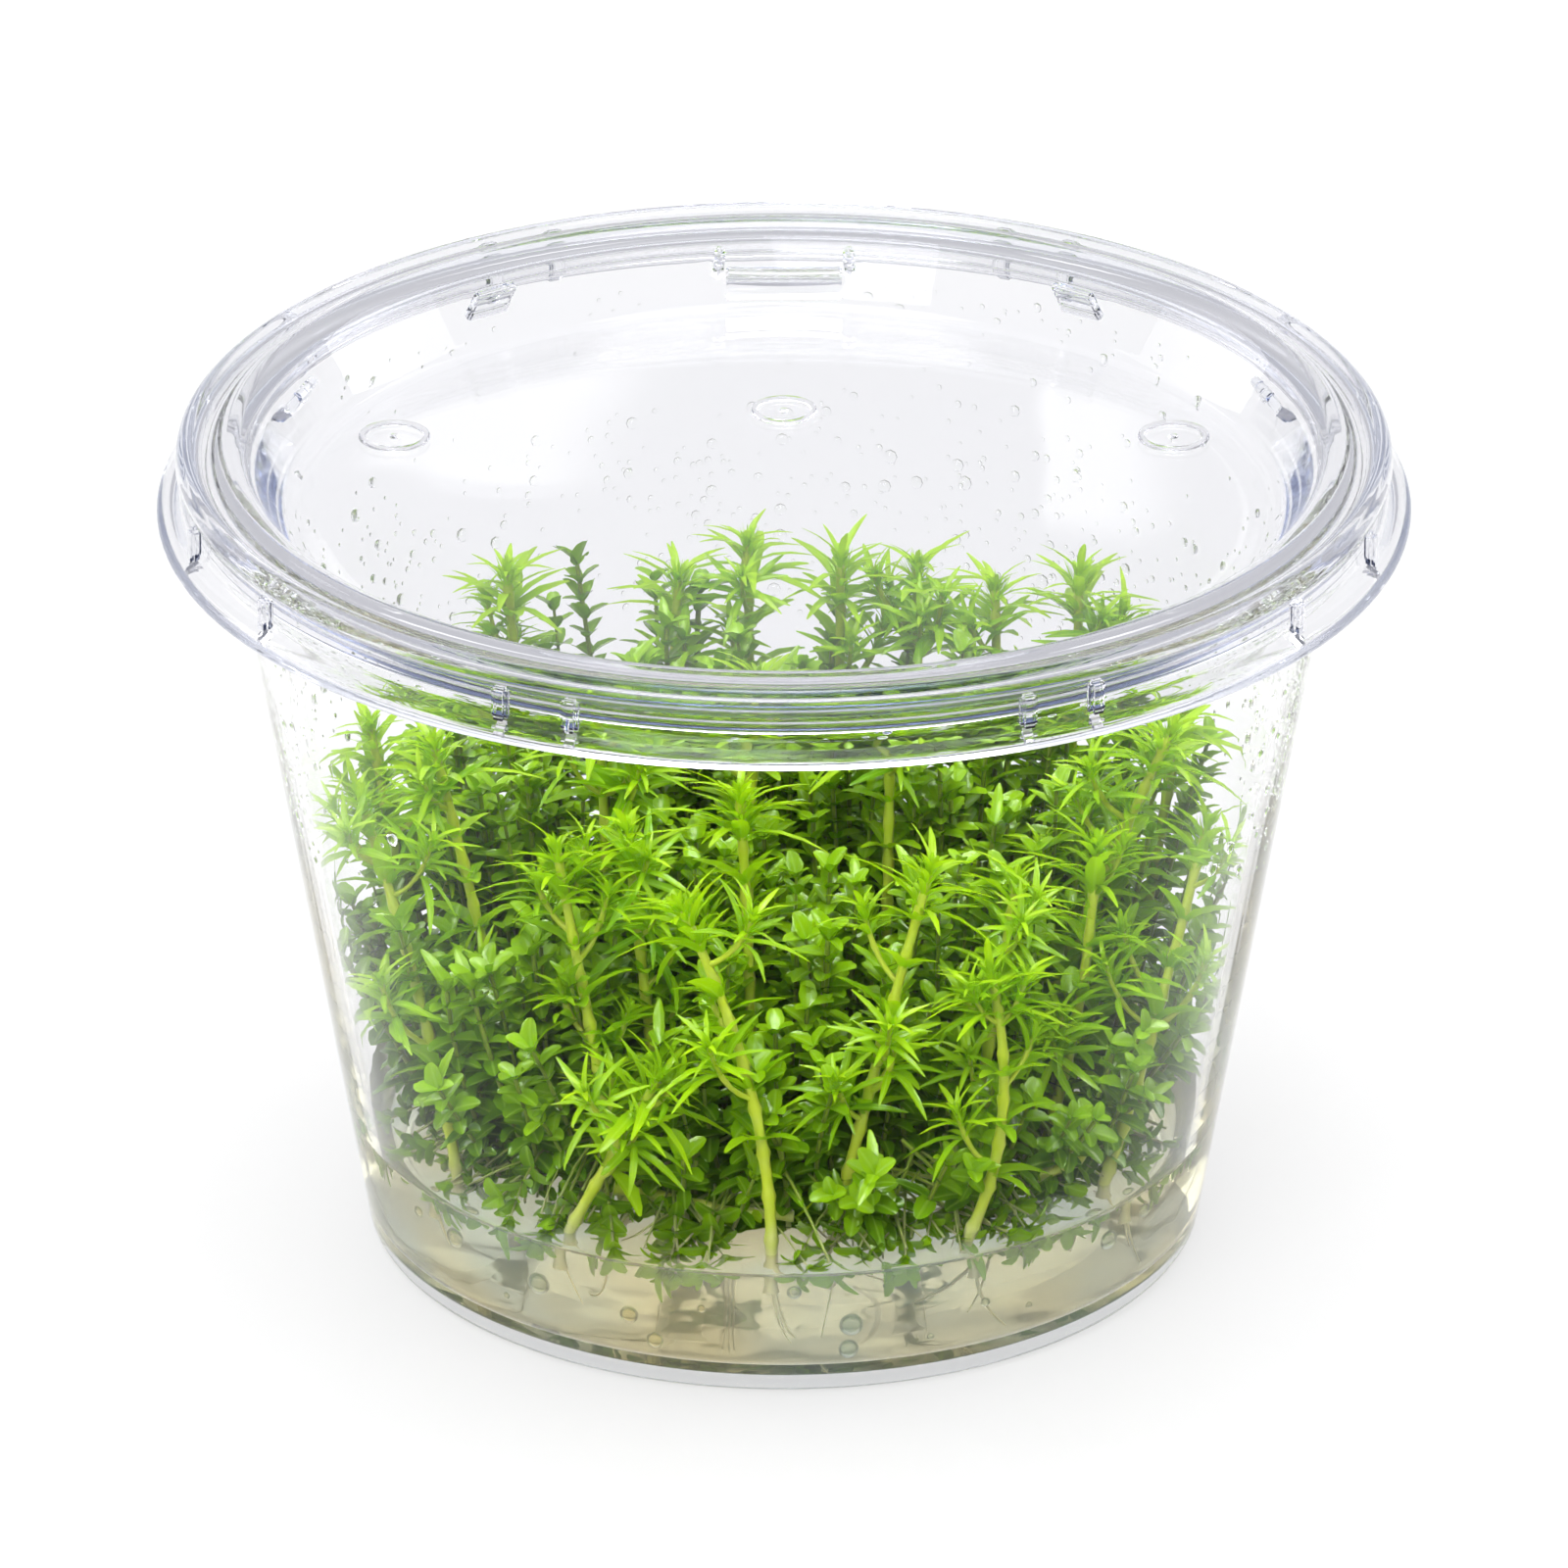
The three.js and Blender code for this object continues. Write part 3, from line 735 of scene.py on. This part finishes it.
def leaf_layer(maker, curves, blade, spacing, per_whorl, length, pitch, seed, kept=1.0, tip_zone=None,
               tip_gap=0.0, wears="Leaf material"):
    """Whorls of leaves along curves, each whorl turned over the gaps of the one below, and the name of
    the material that they wear. pitch is how far they rise at the foot and at the tip of the stem.
    kept is the share of leaves that grow. With a tip zone, they grow only within that length of the
    tip, and get shorter towards it. With a tip gap, none grow within that length of the tip."""
    points = maker.node("GeometryNodeCurveToPoints", {"Curve": curves, "Length": spacing}, mode="LENGTH")
    marked = store(maker, Wire(maker, points.outputs["Points"]), "stem_turn",
                   Wire(maker, points.outputs["Rotation"]), "QUATERNION")
    share = named(maker, "along_stem")
    to_tip = named(maker, "to_tip")
    leafy = without(maker, marked, share, named(maker, "bare"))
    if tip_gap:
        leafy = without(maker, leafy, to_tip, tip_gap)
    progress = share * share
    shrink = 1.0
    if tip_zone:
        leafy = without(maker, leafy, tip_zone, to_tip)
        progress = 1.0 - to_tip / tip_zone
        shrink = 1.0 - progress * 0.4
    copies = maker.node("GeometryNodeDuplicateElements", {"Geometry": leafy, "Amount": per_whorl},
                        domain="POINT")
    each = Wire(maker, copies.outputs["Geometry"])
    turn_index = Wire(maker, copies.outputs["Duplicate Index"])
    whorl = (maker.wire("GeometryNodeInputIndex") / per_whorl).math("FLOOR")
    toned = store(maker, each, "tone", random_value(maker, 0.0, 1.0, seed + 1))
    spin = (turn_index * (2 * math.pi / per_whorl) + whorl * (math.pi / per_whorl)
            + random_value(maker, -0.35, 0.35, seed + 2))
    rise = progress * (pitch[1] - pitch[0]) + pitch[0] + random_value(maker, -0.35, 0.35, seed + 3)
    vigour = (named(maker, "thickness") / STEM_RADIUS * 0.6 + 0.45).math("MINIMUM", 1.0)
    size = vigour * length * shrink * random_value(maker, 0.65, 1.1, seed + 4)
    spun = turned_by(maker, named(maker, "stem_turn", "QUATERNION"), (0, 0, 1), spin)
    raised = turned_by(maker, spun, (1, 0, 0), rise)
    chosen = less_than(maker, random_value(maker, 0.0, 1.0, seed + 5), kept)
    leaves = maker.wire("GeometryNodeInstanceOnPoints",
                        {"Points": toned, "Selection": chosen, "Instance": blade, "Rotation": raised,
                         "Scale": vector(maker, size, size, size)})
    return maker.wire("GeometryNodeRealizeInstances", {"Geometry": leaves}), wears


def dew_drop(maker, droop):
    """A small drop of water past the middle of a leaf that droops, in leaf lengths."""
    along = 0.6
    rise = 0.015 - along * along * droop
    ball = maker.wire("GeometryNodeMeshIcoSphere", {"Radius": 0.016, "Subdivisions": 1})
    place = (0.03, along, rise)
    return maker.wire("GeometryNodeTransform", {"Geometry": smooth(maker, ball), "Translation": place})


def kept_in_cup(maker, geometry):
    """Leaves that would pass through the wall are pressed flat against its inner face."""
    x, y, z = maker.split(maker.wire("GeometryNodeInputPosition"))
    radius = (x * x + y * y).math("SQRT") + 1e-6
    limit = z * WALL_TAPER + (inner_wall(0) - WALL_CLEARANCE)
    share = (limit / radius).math("MINIMUM", 1.0)
    return maker.wire("GeometryNodeSetPosition",
                      {"Geometry": geometry, "Position": vector(maker, x * share, y * share, z)})


def growth_tree(name, asked, grown):
    """A tree that grows one geometry from the inputs that are asked for, its maker and their wires."""
    tree = bpy.data.node_groups.new(name, "GeometryNodeTree")
    tree.is_modifier = True
    for label, kind in asked.items():
        tree.interface.new_socket(label, in_out="INPUT", socket_type="NodeSocket" + kind)
    tree.interface.new_socket(grown, in_out="OUTPUT", socket_type="NodeSocketGeometry")
    maker = Maker(tree)
    entry = maker.node("NodeGroupInput")
    return tree, maker, {label: Wire(maker, entry.outputs[label]) for label in asked}


def leafy_stems_tree(name, stem_sides, step, joint_swelling, layers):
    """Clothes lines with stems, leaves and dew. The stems are built in steps of a given length, and swell
    at each joint. Each layer gives a geometry and the name of its material."""
    asked = {"Lines": "Geometry", "Leaf size": "Float", "Seed": "Int", "Leaf material": "Material",
             "Stem material": "Material", "Water material": "Material"}
    tree, maker, given = growth_tree(name, asked, "Plants")
    lines = maker.wire("GeometryNodeMeshToCurve", {"Mesh": given["Lines"]})
    fine = maker.wire("GeometryNodeResampleCurve", {"Curve": lines, "Length": step}, mode="LENGTH")
    place = maker.node("GeometryNodeSplineParameter")
    along = Wire(maker, place.outputs["Length"])
    whole = maker.wire("GeometryNodeSplineLength", output="Length")
    curves = store(maker, fine, "along_stem", Wire(maker, place.outputs["Factor"]))
    curves = store(maker, curves, "to_tip", whole - along)
    leafy = less_than(maker, named(maker, "bare"), 1.0)
    joint = ((along * (2 * math.pi / JOINT_SPACING)).math("COSINE") * 0.5 + 0.5) ** 6.0
    radius = named(maker, "thickness") * (1.0 + joint * leafy * joint_swelling)
    ring = maker.wire("GeometryNodeCurvePrimitiveCircle", {"Resolution": stem_sides, "Radius": 1.0},
                      "Curve", mode="RADIUS")
    tubes = maker.wire("GeometryNodeCurveToMesh",
                       {"Curve": curves, "Profile Curve": ring, "Scale": radius, "Fill Caps": True})
    grown = [(smooth(maker, tubes), "Stem material")]
    grown += [layer(maker, curves, given["Leaf size"], given["Seed"]) for layer in layers]
    join = maker.node("GeometryNodeJoinGeometry")
    for geometry, label in grown:
        finished = maker.wire("GeometryNodeSetMaterial",
                              {"Geometry": geometry, "Material": given[label]})
        tree.links.new(finished.socket, join.inputs[0])
    inside = kept_in_cup(maker, Wire(maker, join.outputs[0]))
    maker.node("NodeGroupOutput", {"Plants": inside})
    return tree


def grown_piece(name, holder, tree, given):
    """The plain mesh piece that a tree grows on an object, with the named inputs given."""
    modifier = holder.modifiers.new("growth", "NODES")
    modifier.node_group = tree
    for item in tree.interface.items_tree:
        if item.in_out == "INPUT" and item.name in given:
            modifier[item.identifier] = given[item.name]
    return add_piece(name, evaluated(holder, name))


def grow(name, bed, tree, leaf_size, seed, leaf_material, stem_material):
    """Clothes a stem bed with its leaves."""
    given = {
        "Leaf size": leaf_size,
        "Seed": seed,
        "Leaf material": leaf_material,
        "Stem material": stem_material,
        "Water material": water,
    }
    return grown_piece(name, bed.to_object(name + "_lines"), tree, given)


def leaf_green(name, deep, bright, young, rib_and_sheen, sheerness):
    """A glossy leaf: each one has its own green, deeper low on the stem as painted shade from the leaves
    above, and paler at the growing tip. Its midrib is paler, a real paler midrib lightened further as a
    painted highlight for its glossy streak. sheerness is the share of light that passes through the blade."""
    material, maker, shader = new_material(name, {"IOR": 1.5, "Specular Tint": (0.9, 1.0, 0.8, 1.0)})
    tone, tip, across = (maker.wire("ShaderNodeAttribute", output="Fac", attribute_name=attribute)
                         for attribute in ("tone", "along_stem", "across"))
    patch = maker.noise(700.0, 0.0)
    # Leaves lower on the stem are darkened as painted shade; the rest of the variation is each leaf's own
    # tone.
    tone_and_painted_shade = (tone * 0.7 + patch * 0.3) * (tip * 0.75 + 0.35)
    blade = maker.mix(tone_and_painted_shade.clamped(), deep, bright)
    blade = maker.mix((tip * tip * tip * 0.65).clamped(), blade, young)
    # A paler midrib, lightened further as a painted highlight for the glossy streak along it.
    rib_and_sheen_mask = 1.0 - across.ramp(0.0, 0.28)
    colour = maker.mix(rib_and_sheen_mask * 0.55, blade, rib_and_sheen)
    maker.feed(shader.inputs["Base Color"], colour)
    maker.feed(shader.inputs["Roughness"], patch * 0.12 + 0.07)
    through = maker.wire("ShaderNodeBsdfTranslucent", {"Color": (*bright, 1.0)})
    lit = maker.wire("ShaderNodeMixShader",
                     {0: sheerness, 1: Wire(maker, shader.outputs[0]), 2: through})
    maker.feed(material.node_tree.nodes["Material Output"].inputs["Surface"], lit)
    return material


def stem_skin(name, green, cream):
    """A stem: yellow-green and satin above the gel, cream under its surface."""
    material, maker, shader = new_material(name, {"Roughness": 0.35, "IOR": 1.35})
    streak = maker.noise(900.0, 0.0)
    above = (height_of(maker) + streak * 3 * MM).ramp(GEL_TOP - 2 * MM, GEL_TOP + 5 * MM)
    colour = maker.mix(above, cream, green)
    maker.feed(shader.inputs["Base Color"], maker.mix(streak * 0.12, colour, cream))
    return material


def shoot_leaves(maker, curves, leaf_size, seed):
    """Whorls of long leaves that arch out from the joints."""
    blade = leaf_blade(maker, rows=5, shape=0.55, slimness=0.165, droop=LEAF_DROOP)
    return leaf_layer(maker, curves, blade, JOINT_SPACING, per_whorl=4, length=leaf_size,
                      pitch=SHOOT_PITCH, seed=seed, kept=0.85, tip_gap=TIP_GAP)


def joint_leaves(maker, curves, leaf_size, seed):
    """Bunches of fine leaves in the joints of the long ones."""
    blade = leaf_blade(maker, rows=3, shape=0.5, slimness=0.17, droop=0.0)
    return leaf_layer(maker, curves, blade, JOINT_SPACING, per_whorl=6, length=leaf_size * 0.38,
                      pitch=(0.6, 1.0), seed=seed + 10)


def crown_leaves(maker, curves, leaf_size, seed):
    """The arching leaves of the crown."""
    blade = leaf_blade(maker, rows=6, shape=0.65, slimness=0.08, droop=0.65)
    return leaf_layer(maker, curves, blade, 1.0 * MM, per_whorl=5, length=leaf_size * 1.4,
                      pitch=(0.6, 1.15), seed=seed + 20, tip_zone=3.2 * MM)


def bud_leaves(maker, curves, leaf_size, seed):
    """The needle leaves that are packed round the growing tip."""
    blade = leaf_blade(maker, rows=2, shape=0.8, slimness=0.038, droop=-0.15)
    return leaf_layer(maker, curves, blade, 0.22 * MM, per_whorl=8, length=leaf_size * 0.62,
                      pitch=(0.55, 1.35), seed=seed + 30, tip_zone=1.5 * MM)


def shoot_dew(maker, curves, leaf_size, seed):
    """Drops of water on a few of the long leaves, laid out as the leaves are."""
    return leaf_layer(maker, curves, dew_drop(maker, LEAF_DROOP), JOINT_SPACING, per_whorl=4,
                      length=leaf_size, pitch=SHOOT_PITCH, seed=seed, kept=0.1, wears="Water material")


def grow_roots(bed, foot, rng):
    """Thin roots that wander down and outwards through the gel from a stem's foot."""
    for _ in range(rng.randint(1, 3)):
        heading = rng.uniform(0, 2 * math.pi)
        spread = rng.uniform(1.5, 6.0) * MM
        depth = rng.uniform(3.0, 7.5) * MM
        out = Vector((math.cos(heading), math.sin(heading), 0)) * spread
        end = foot + out - Vector((0, 0, depth))
        limit = inner_wall(end.z) - 1 * MM
        if math.hypot(end.x, end.y) > limit:
            end.xy = end.xy.normalized() * limit
        pull = foot + out * rng.uniform(-0.2, 0.6) - Vector((0, 0, depth * rng.uniform(0.4, 0.9)))
        root_line = bend_through(foot, pull, end, 8)
        bed.add(root_line, rng.uniform(0.1, 0.28) * MM, taper=0.35, bare=LEAFLESS)


def grow_side_shoots(bed, line, rng):
    """Short branches that leave the stem at its leaf joints and turn up beside it."""
    for _ in range(rng.randint(3, 5)):
        start = line[rng.randint(4, len(line) - 3)]
        heading = rng.uniform(0, 2 * math.pi)
        reach = rng.uniform(2.0, 4.2) * MM
        out = Vector((math.cos(heading), math.sin(heading), 0)) * reach
        end = start + out + Vector((0, 0, reach * rng.uniform(1.0, 1.8)))
        end.z = min(end.z, line[-1].z)
        pull = start + out * 0.7 + Vector((0, 0, reach * 0.3))
        branch = bend_through(start, pull, end, 6)
        bed.add(branch, STEM_RADIUS * rng.uniform(0.4, 0.55), taper=0.8, bare=0.2)


water, _, _ = new_material("water_drops", {
    "Base Color": (1.0, 1.0, 1.0, 1.0),
    "Roughness": 0.0,
    "IOR": 1.33,
    "Transmission Weight": 1.0,
})
shoot_leaf = leaf_green("shoot_leaf", deep=(0.12, 0.36, 0.002), bright=(0.50, 0.82, 0.004),
                        young=(0.56, 0.82, 0.008), rib_and_sheen=(0.60, 0.86, 0.06), sheerness=0.4)
shoot_stem = stem_skin("shoot_stem", green=(0.46, 0.58, 0.006), cream=(0.84, 0.77, 0.52))
shoot_layers = (shoot_leaves, joint_leaves, crown_leaves, bud_leaves, shoot_dew)
shoot_tree = leafy_stems_tree("leafy_shoots", stem_sides=7, step=0.6 * MM, joint_swelling=0.35,
                              layers=shoot_layers)
shoot_rng = random.Random(11)
for name, members in SHOOT_GROUPS.items():
    bed = StemBed()
    for foot, bend, tip in (SHOOTS[i] for i in members):
        root = Vector((foot[0], foot[1], 0)) * MM + Vector((0, 0, GEL_TOP))
        stem_line = bend_through(root, Vector(bend) * MM, Vector(tip) * MM, STEM_POINTS)
        buried = [root - Vector((0, 0, STEM_DEPTH))] + stem_line
        bed.add(buried, STEM_RADIUS, taper=0.75, bare=STEM_BARE)
        grow_side_shoots(bed, stem_line, shoot_rng)
        grow_roots(bed, root - Vector((0, 0, ROOT_DEPTH)), shoot_rng)
    shoots = grow(name, bed, shoot_tree, SHOOT_LEAF, members[0] + 5, shoot_leaf, shoot_stem)
    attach(shoots, "root")
    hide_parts(*[f"shoot_{i + 1:02d}" for i in members])


# The low tufts: the side growth of the culture, a springy carpet of small, round to oval leaves.
# Each is many thin stems, packed so close at the middle that they hide the gel, and sparse at the wall.
# At the front, thin stems trail out of them and down onto the gel.
TUFT_STEM_SPACING = 2.2 * MM
TUFT_LEAF = 3.5 * MM
TUFT_LEAFY_HEIGHT = 17 * MM
TUFT_WIDTH = 9 * MM
TUFT_EDGE = 30 * MM
TUFT_SCATTER = 2.5  # how far a thin stem leans at random, in mm
TUFT_SPREAD = 0.28
TUFT_TOP = 41 * MM
TUFT_WHORL = 1.5 * MM
TRAILER_COUNT = 150
TRAILER_BARE = (0.6, 0.8, LEAFLESS, LEAFLESS)
# Each tuft: its middle on the gel and its height, in mm.
TUFTS = (
    ((-21, -20), 14), ((-8, -25.5), 9), ((8, -29), 9), ((21.5, -22), 12), ((-18.5, -12), 19),
    ((-5, -20), 16), ((9, -17), 17), ((29, -7), 14), ((-28, -5), 16), ((3.5, -7), 22),
    ((-9, -4.5), 22), ((14, -6.5), 21), ((-21, 8), 24), ((3, 14), 28), ((-8.5, 12.5), 28),
    ((14, 11.5), 27), ((22, 3.5), 23), ((-13, 21.5), 29), ((-28, 14.5), 21),
)
TUFT_GROUPS = {
    "low_tufts_front": range(0, 6),
    "low_tufts_middle": range(6, 10),
    "low_tufts_centre": range(10, 14),
    "low_tufts_back": range(14, 19),
}


def tuft_leaves(maker, curves, leaf_size, seed):
    """Whorls of round to oval leaves."""
    blade = leaf_blade(maker, rows=4, shape=0.42, slimness=0.33, droop=0.25)
    return leaf_layer(maker, curves, blade, TUFT_WHORL, per_whorl=3, length=leaf_size, pitch=(0.1, 0.9),
                      seed=seed)


def tuft_long_leaves(maker, curves, leaf_size, seed):
    """A few longer leaves among the round ones."""
    blade = leaf_blade(maker, rows=5, shape=0.6, slimness=0.14, droop=0.3)
    return leaf_layer(maker, curves, blade, TUFT_WHORL * 2, per_whorl=2, length=leaf_size * 1.5,
                      pitch=(0.3, 0.9), seed=seed + 10, kept=0.4)


def from_tuft(tuft, x, y):
    """How far a place on the gel is from the middle of a tuft."""
    (tuft_x, tuft_y), _ = TUFTS[tuft]
    return math.hypot(tuft_x * MM - x, tuft_y * MM - y)


def nearest_tuft(x, y):
    """The number of the tuft that a place on the gel belongs to."""
    return min(range(len(TUFTS)), key=lambda tuft: from_tuft(tuft, x, y))


def tuft_stems(rng):
    """The foot, top and tuft of every thin stem, spaced evenly over the gel with some scatter.
    They lean outwards towards the wall, and are fewer and lower at the front."""
    count = int(TUFT_EDGE / TUFT_STEM_SPACING) + 2
    for row in range(-count, count + 1):
        for column in range(-count, count + 1):
            x = (column + 0.5 * (row % 2) + rng.uniform(-0.4, 0.4)) * TUFT_STEM_SPACING
            y = (row * 0.87 + rng.uniform(-0.4, 0.4)) * TUFT_STEM_SPACING
            tall = rng.uniform(0.5, 1.1) + 0.25 * max(abs(x), y) / TUFT_EDGE
            distance = math.hypot(x, y)
            near_wall = (distance / TUFT_EDGE) ** 2
            near_front = max(0.0, -y) / TUFT_EDGE
            lean = Vector((rng.uniform(-1, 1), rng.uniform(-1, 1), 0)) * TUFT_SCATTER * MM
            lean += Vector((x, y, 0)) * TUFT_SPREAD * near_wall * (1 - 0.5 * near_front)
            reach = TUFT_EDGE - 3.5 * MM * near_front
            if rng.random() < near_wall * (0.4 + 0.5 * near_front) or distance > reach:
                continue
            tuft = nearest_tuft(x, y)
            from_middle = min(from_tuft(tuft, x, y) / TUFT_WIDTH, 1.0)
            height = TUFTS[tuft][1] * MM * tall * (1 - 0.25 * from_middle ** 2)
            height = min(height, TUFT_TOP - GEL_TOP) * (1 - 0.3 * near_front * near_wall)
            foot = Vector((x, y, GEL_TOP))
            yield foot, foot + lean + Vector((0, 0, height)), tuft


def around(heading, radius, height):
    """A point at an angle, a radius in mm, and a height in mm above the gel."""
    across = math.cos(heading) * radius * MM
    back = math.sin(heading) * radius * MM
    return Vector((across, back, GEL_TOP + height * MM))


def trailing_stem(rng):
    """The line of a thin stem that runs out of the tufts, down onto the gel at the front."""
    heading = rng.uniform(-2.9, -0.25)
    start = around(heading, rng.uniform(19, 25), rng.uniform(1, 6))
    turned_to = heading + rng.uniform(-0.3, 0.3)
    end = around(turned_to, rng.uniform(27, 32.5), rng.uniform(-0.8, 0.8))
    middle = around((heading + turned_to) / 2, rng.uniform(23, 28), rng.uniform(1, 6))
    return bend_through(start, middle, end, 8)


# The tufts' leaves and stems are darker copies of the shoots' greens and cream: painted shade for the
# undergrowth that lies under the shoots.
tuft_leaf = leaf_green("tuft_leaf", deep=(0.03, 0.12, 0.001), bright=(0.28, 0.56, 0.002),
                       young=(0.36, 0.63, 0.004), rib_and_sheen=(0.40, 0.66, 0.06), sheerness=0.22)
tuft_stem = stem_skin("tuft_stem", green=(0.20, 0.30, 0.01), cream=(0.66, 0.60, 0.34))
tuft_tree = leafy_stems_tree("leafy_tufts", stem_sides=4, step=3.0 * MM, joint_swelling=0.0,
                             layers=(tuft_leaves, tuft_long_leaves))
tuft_rng = random.Random(23)
tuft_beds = {name: StemBed() for name in TUFT_GROUPS}
bed_of_tuft = {tuft: tuft_beds[name] for name, members in TUFT_GROUPS.items() for tuft in members}
for foot, top, tuft in tuft_stems(tuft_rng):
    middle = (foot + top) / 2 + Vector((tuft_rng.uniform(-1, 1), tuft_rng.uniform(-1, 1), 0)) * 1.2 * MM
    bare = max(0.0, 1 - TUFT_LEAFY_HEIGHT / (top.z - foot.z))
    stem_line = bend_through(foot, middle, top, 6)
    bed_of_tuft[tuft].add(stem_line, tuft_rng.uniform(0.18, 0.28) * MM, taper=0.8, bare=bare)
for _ in range(TRAILER_COUNT):
    line = trailing_stem(tuft_rng)
    bed = bed_of_tuft[nearest_tuft(line[-1].x, line[-1].y)]
    bed.add(line, tuft_rng.uniform(0.12, 0.24) * MM, taper=0.6, bare=tuft_rng.choice(TRAILER_BARE))
for name, members in TUFT_GROUPS.items():
    tufts = grow(name, tuft_beds[name], tuft_tree, TUFT_LEAF, members[0] + 40, tuft_leaf, tuft_stem)
    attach(tufts, "root")
    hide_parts(*[f"tuft_{i + 1:02d}" for i in members])


# The runners: creeping stems that lie on the gel between the tufts, with a few small leaves.
RUNNER_POINTS = 12
RUNNER_LEAF = 3.2 * MM
RUNNER_SPACING = 3.2 * MM
# Each runner: the spots that it passes through, in mm.
RUNNERS = {
    "runner_front": ((-13.5, -23.5, 13.5), (-9, -23.5, 12.6), (-4.5, -24.6, 12), (0.8, -25.2, 11.8)),
    "runner_right": ((20, -19, 12.2), (23.5, -17.6, 13), (25.2, -13.2, 14.5), (25.6, -8.5, 15.5)),
}


def runner_leaves(maker, curves, leaf_size, seed):
    """Pairs of small leaves that lie low."""
    blade = leaf_blade(maker, rows=4, shape=0.6, slimness=0.18, droop=0.15)
    return leaf_layer(maker, curves, blade, RUNNER_SPACING, per_whorl=2, length=leaf_size,
                      pitch=(0.2, 0.6), seed=seed)


def runner_line(spots):
    """Points spaced along the straight lengths between spots, up to just short of the last one."""
    line = []
    for i in range(RUNNER_POINTS):
        way = i / (RUNNER_POINTS - 1) * (len(spots) - 1.001)
        step = int(way)
        line.append(spots[step].lerp(spots[step + 1], way - step))
    return line


runner_tree = leafy_stems_tree("leafy_runners", stem_sides=7, step=0.6 * MM, joint_swelling=0.35,
                               layers=(runner_leaves,))
runner_bed = StemBed()
for points in RUNNERS.values():
    spots = [Vector(point) * MM for point in points]
    runner_bed.add(runner_line(spots), STEM_RADIUS * 0.9, taper=0.8)
runners = grow("runners", runner_bed, runner_tree, RUNNER_LEAF, 80, shoot_leaf, shoot_stem)
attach(runners, "root")
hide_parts(*RUNNERS)


# The condensation: drops of water that hang on the inner face of the cup above the plants.
# They sit close together in patches, as damp air leaves them, and most are well under a millimetre.
DROP_BAND = range(30, 64)  # the heights of the wall's rings in mm
DROPS_PER_M2 = 420000.0
DROP_SMALLEST = 0.17 * MM
DROP_SPREAD = 0.45 * MM


def drops_tree():
    """Scatters domes of water over the damp part of a wall: above the plants, and just under the lid."""
    asked = {"Wall": "Geometry", "Drops per area": "Float", "Water material": "Material"}
    tree, maker, given = growth_tree("condensation", asked, "Drops")
    place = maker.wire("GeometryNodeInputPosition")
    x, y, z = maker.split(place)
    above_plants = y.ramp(-26 * MM, -8 * MM) * z.ramp(33 * MM, 40 * MM)
    above_plants = above_plants * (1.0 - z.ramp(47 * MM, 55 * MM) * y.ramp(0.0, 20 * MM) * 0.9)
    under_lid = z.ramp(59.5 * MM, 61 * MM) * 0.7
    damp = above_plants.math("MAXIMUM", under_lid)
    patches = maker.noise(75.0, 1.0, place).ramp(0.33, 0.55) * damp
    points = maker.node("GeometryNodeDistributePointsOnFaces", {
        "Mesh": given["Wall"],
        "Density": patches * given["Drops per area"],
        "Seed": 7,
    }, distribute_method="RANDOM")
    chance = random_value(maker, 0.0, 1.0, 3)
    size = (chance ** 4.0) * DROP_SPREAD + DROP_SMALLEST
    ball = maker.wire("GeometryNodeMeshUVSphere", {"Segments": 8, "Rings": 6, "Radius": 1.0})
    upper_half = z.math("MAXIMUM", 0.0)
    dome = maker.wire("GeometryNodeSetPosition",
                      {"Geometry": ball, "Position": vector(maker, x, y, upper_half * 0.95 + 0.02)})
    drops = maker.wire("GeometryNodeInstanceOnPoints", {
        "Points": Wire(maker, points.outputs["Points"]),
        "Instance": smooth(maker, dome),
        "Rotation": Wire(maker, points.outputs["Rotation"]),
        "Scale": vector(maker, size, size, size),
    })
    plain = maker.wire("GeometryNodeRealizeInstances", {"Geometry": drops})
    wet = maker.wire("GeometryNodeSetMaterial",
                     {"Geometry": plain, "Material": given["Water material"]})
    maker.node("NodeGroupOutput", {"Drops": wet})
    return tree


wall_profile = [(inner_wall(height * MM), height * MM) for height in DROP_BAND]
wall_band = turned("wall_band", wall_profile, segments=96)
wall_band.flip_normals()
wetting = {"Drops per area": DROPS_PER_M2, "Water material": water}
drops = grown_piece("condensation", add_piece("wall_band", wall_band), drops_tree(), wetting)
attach(drops, "root")
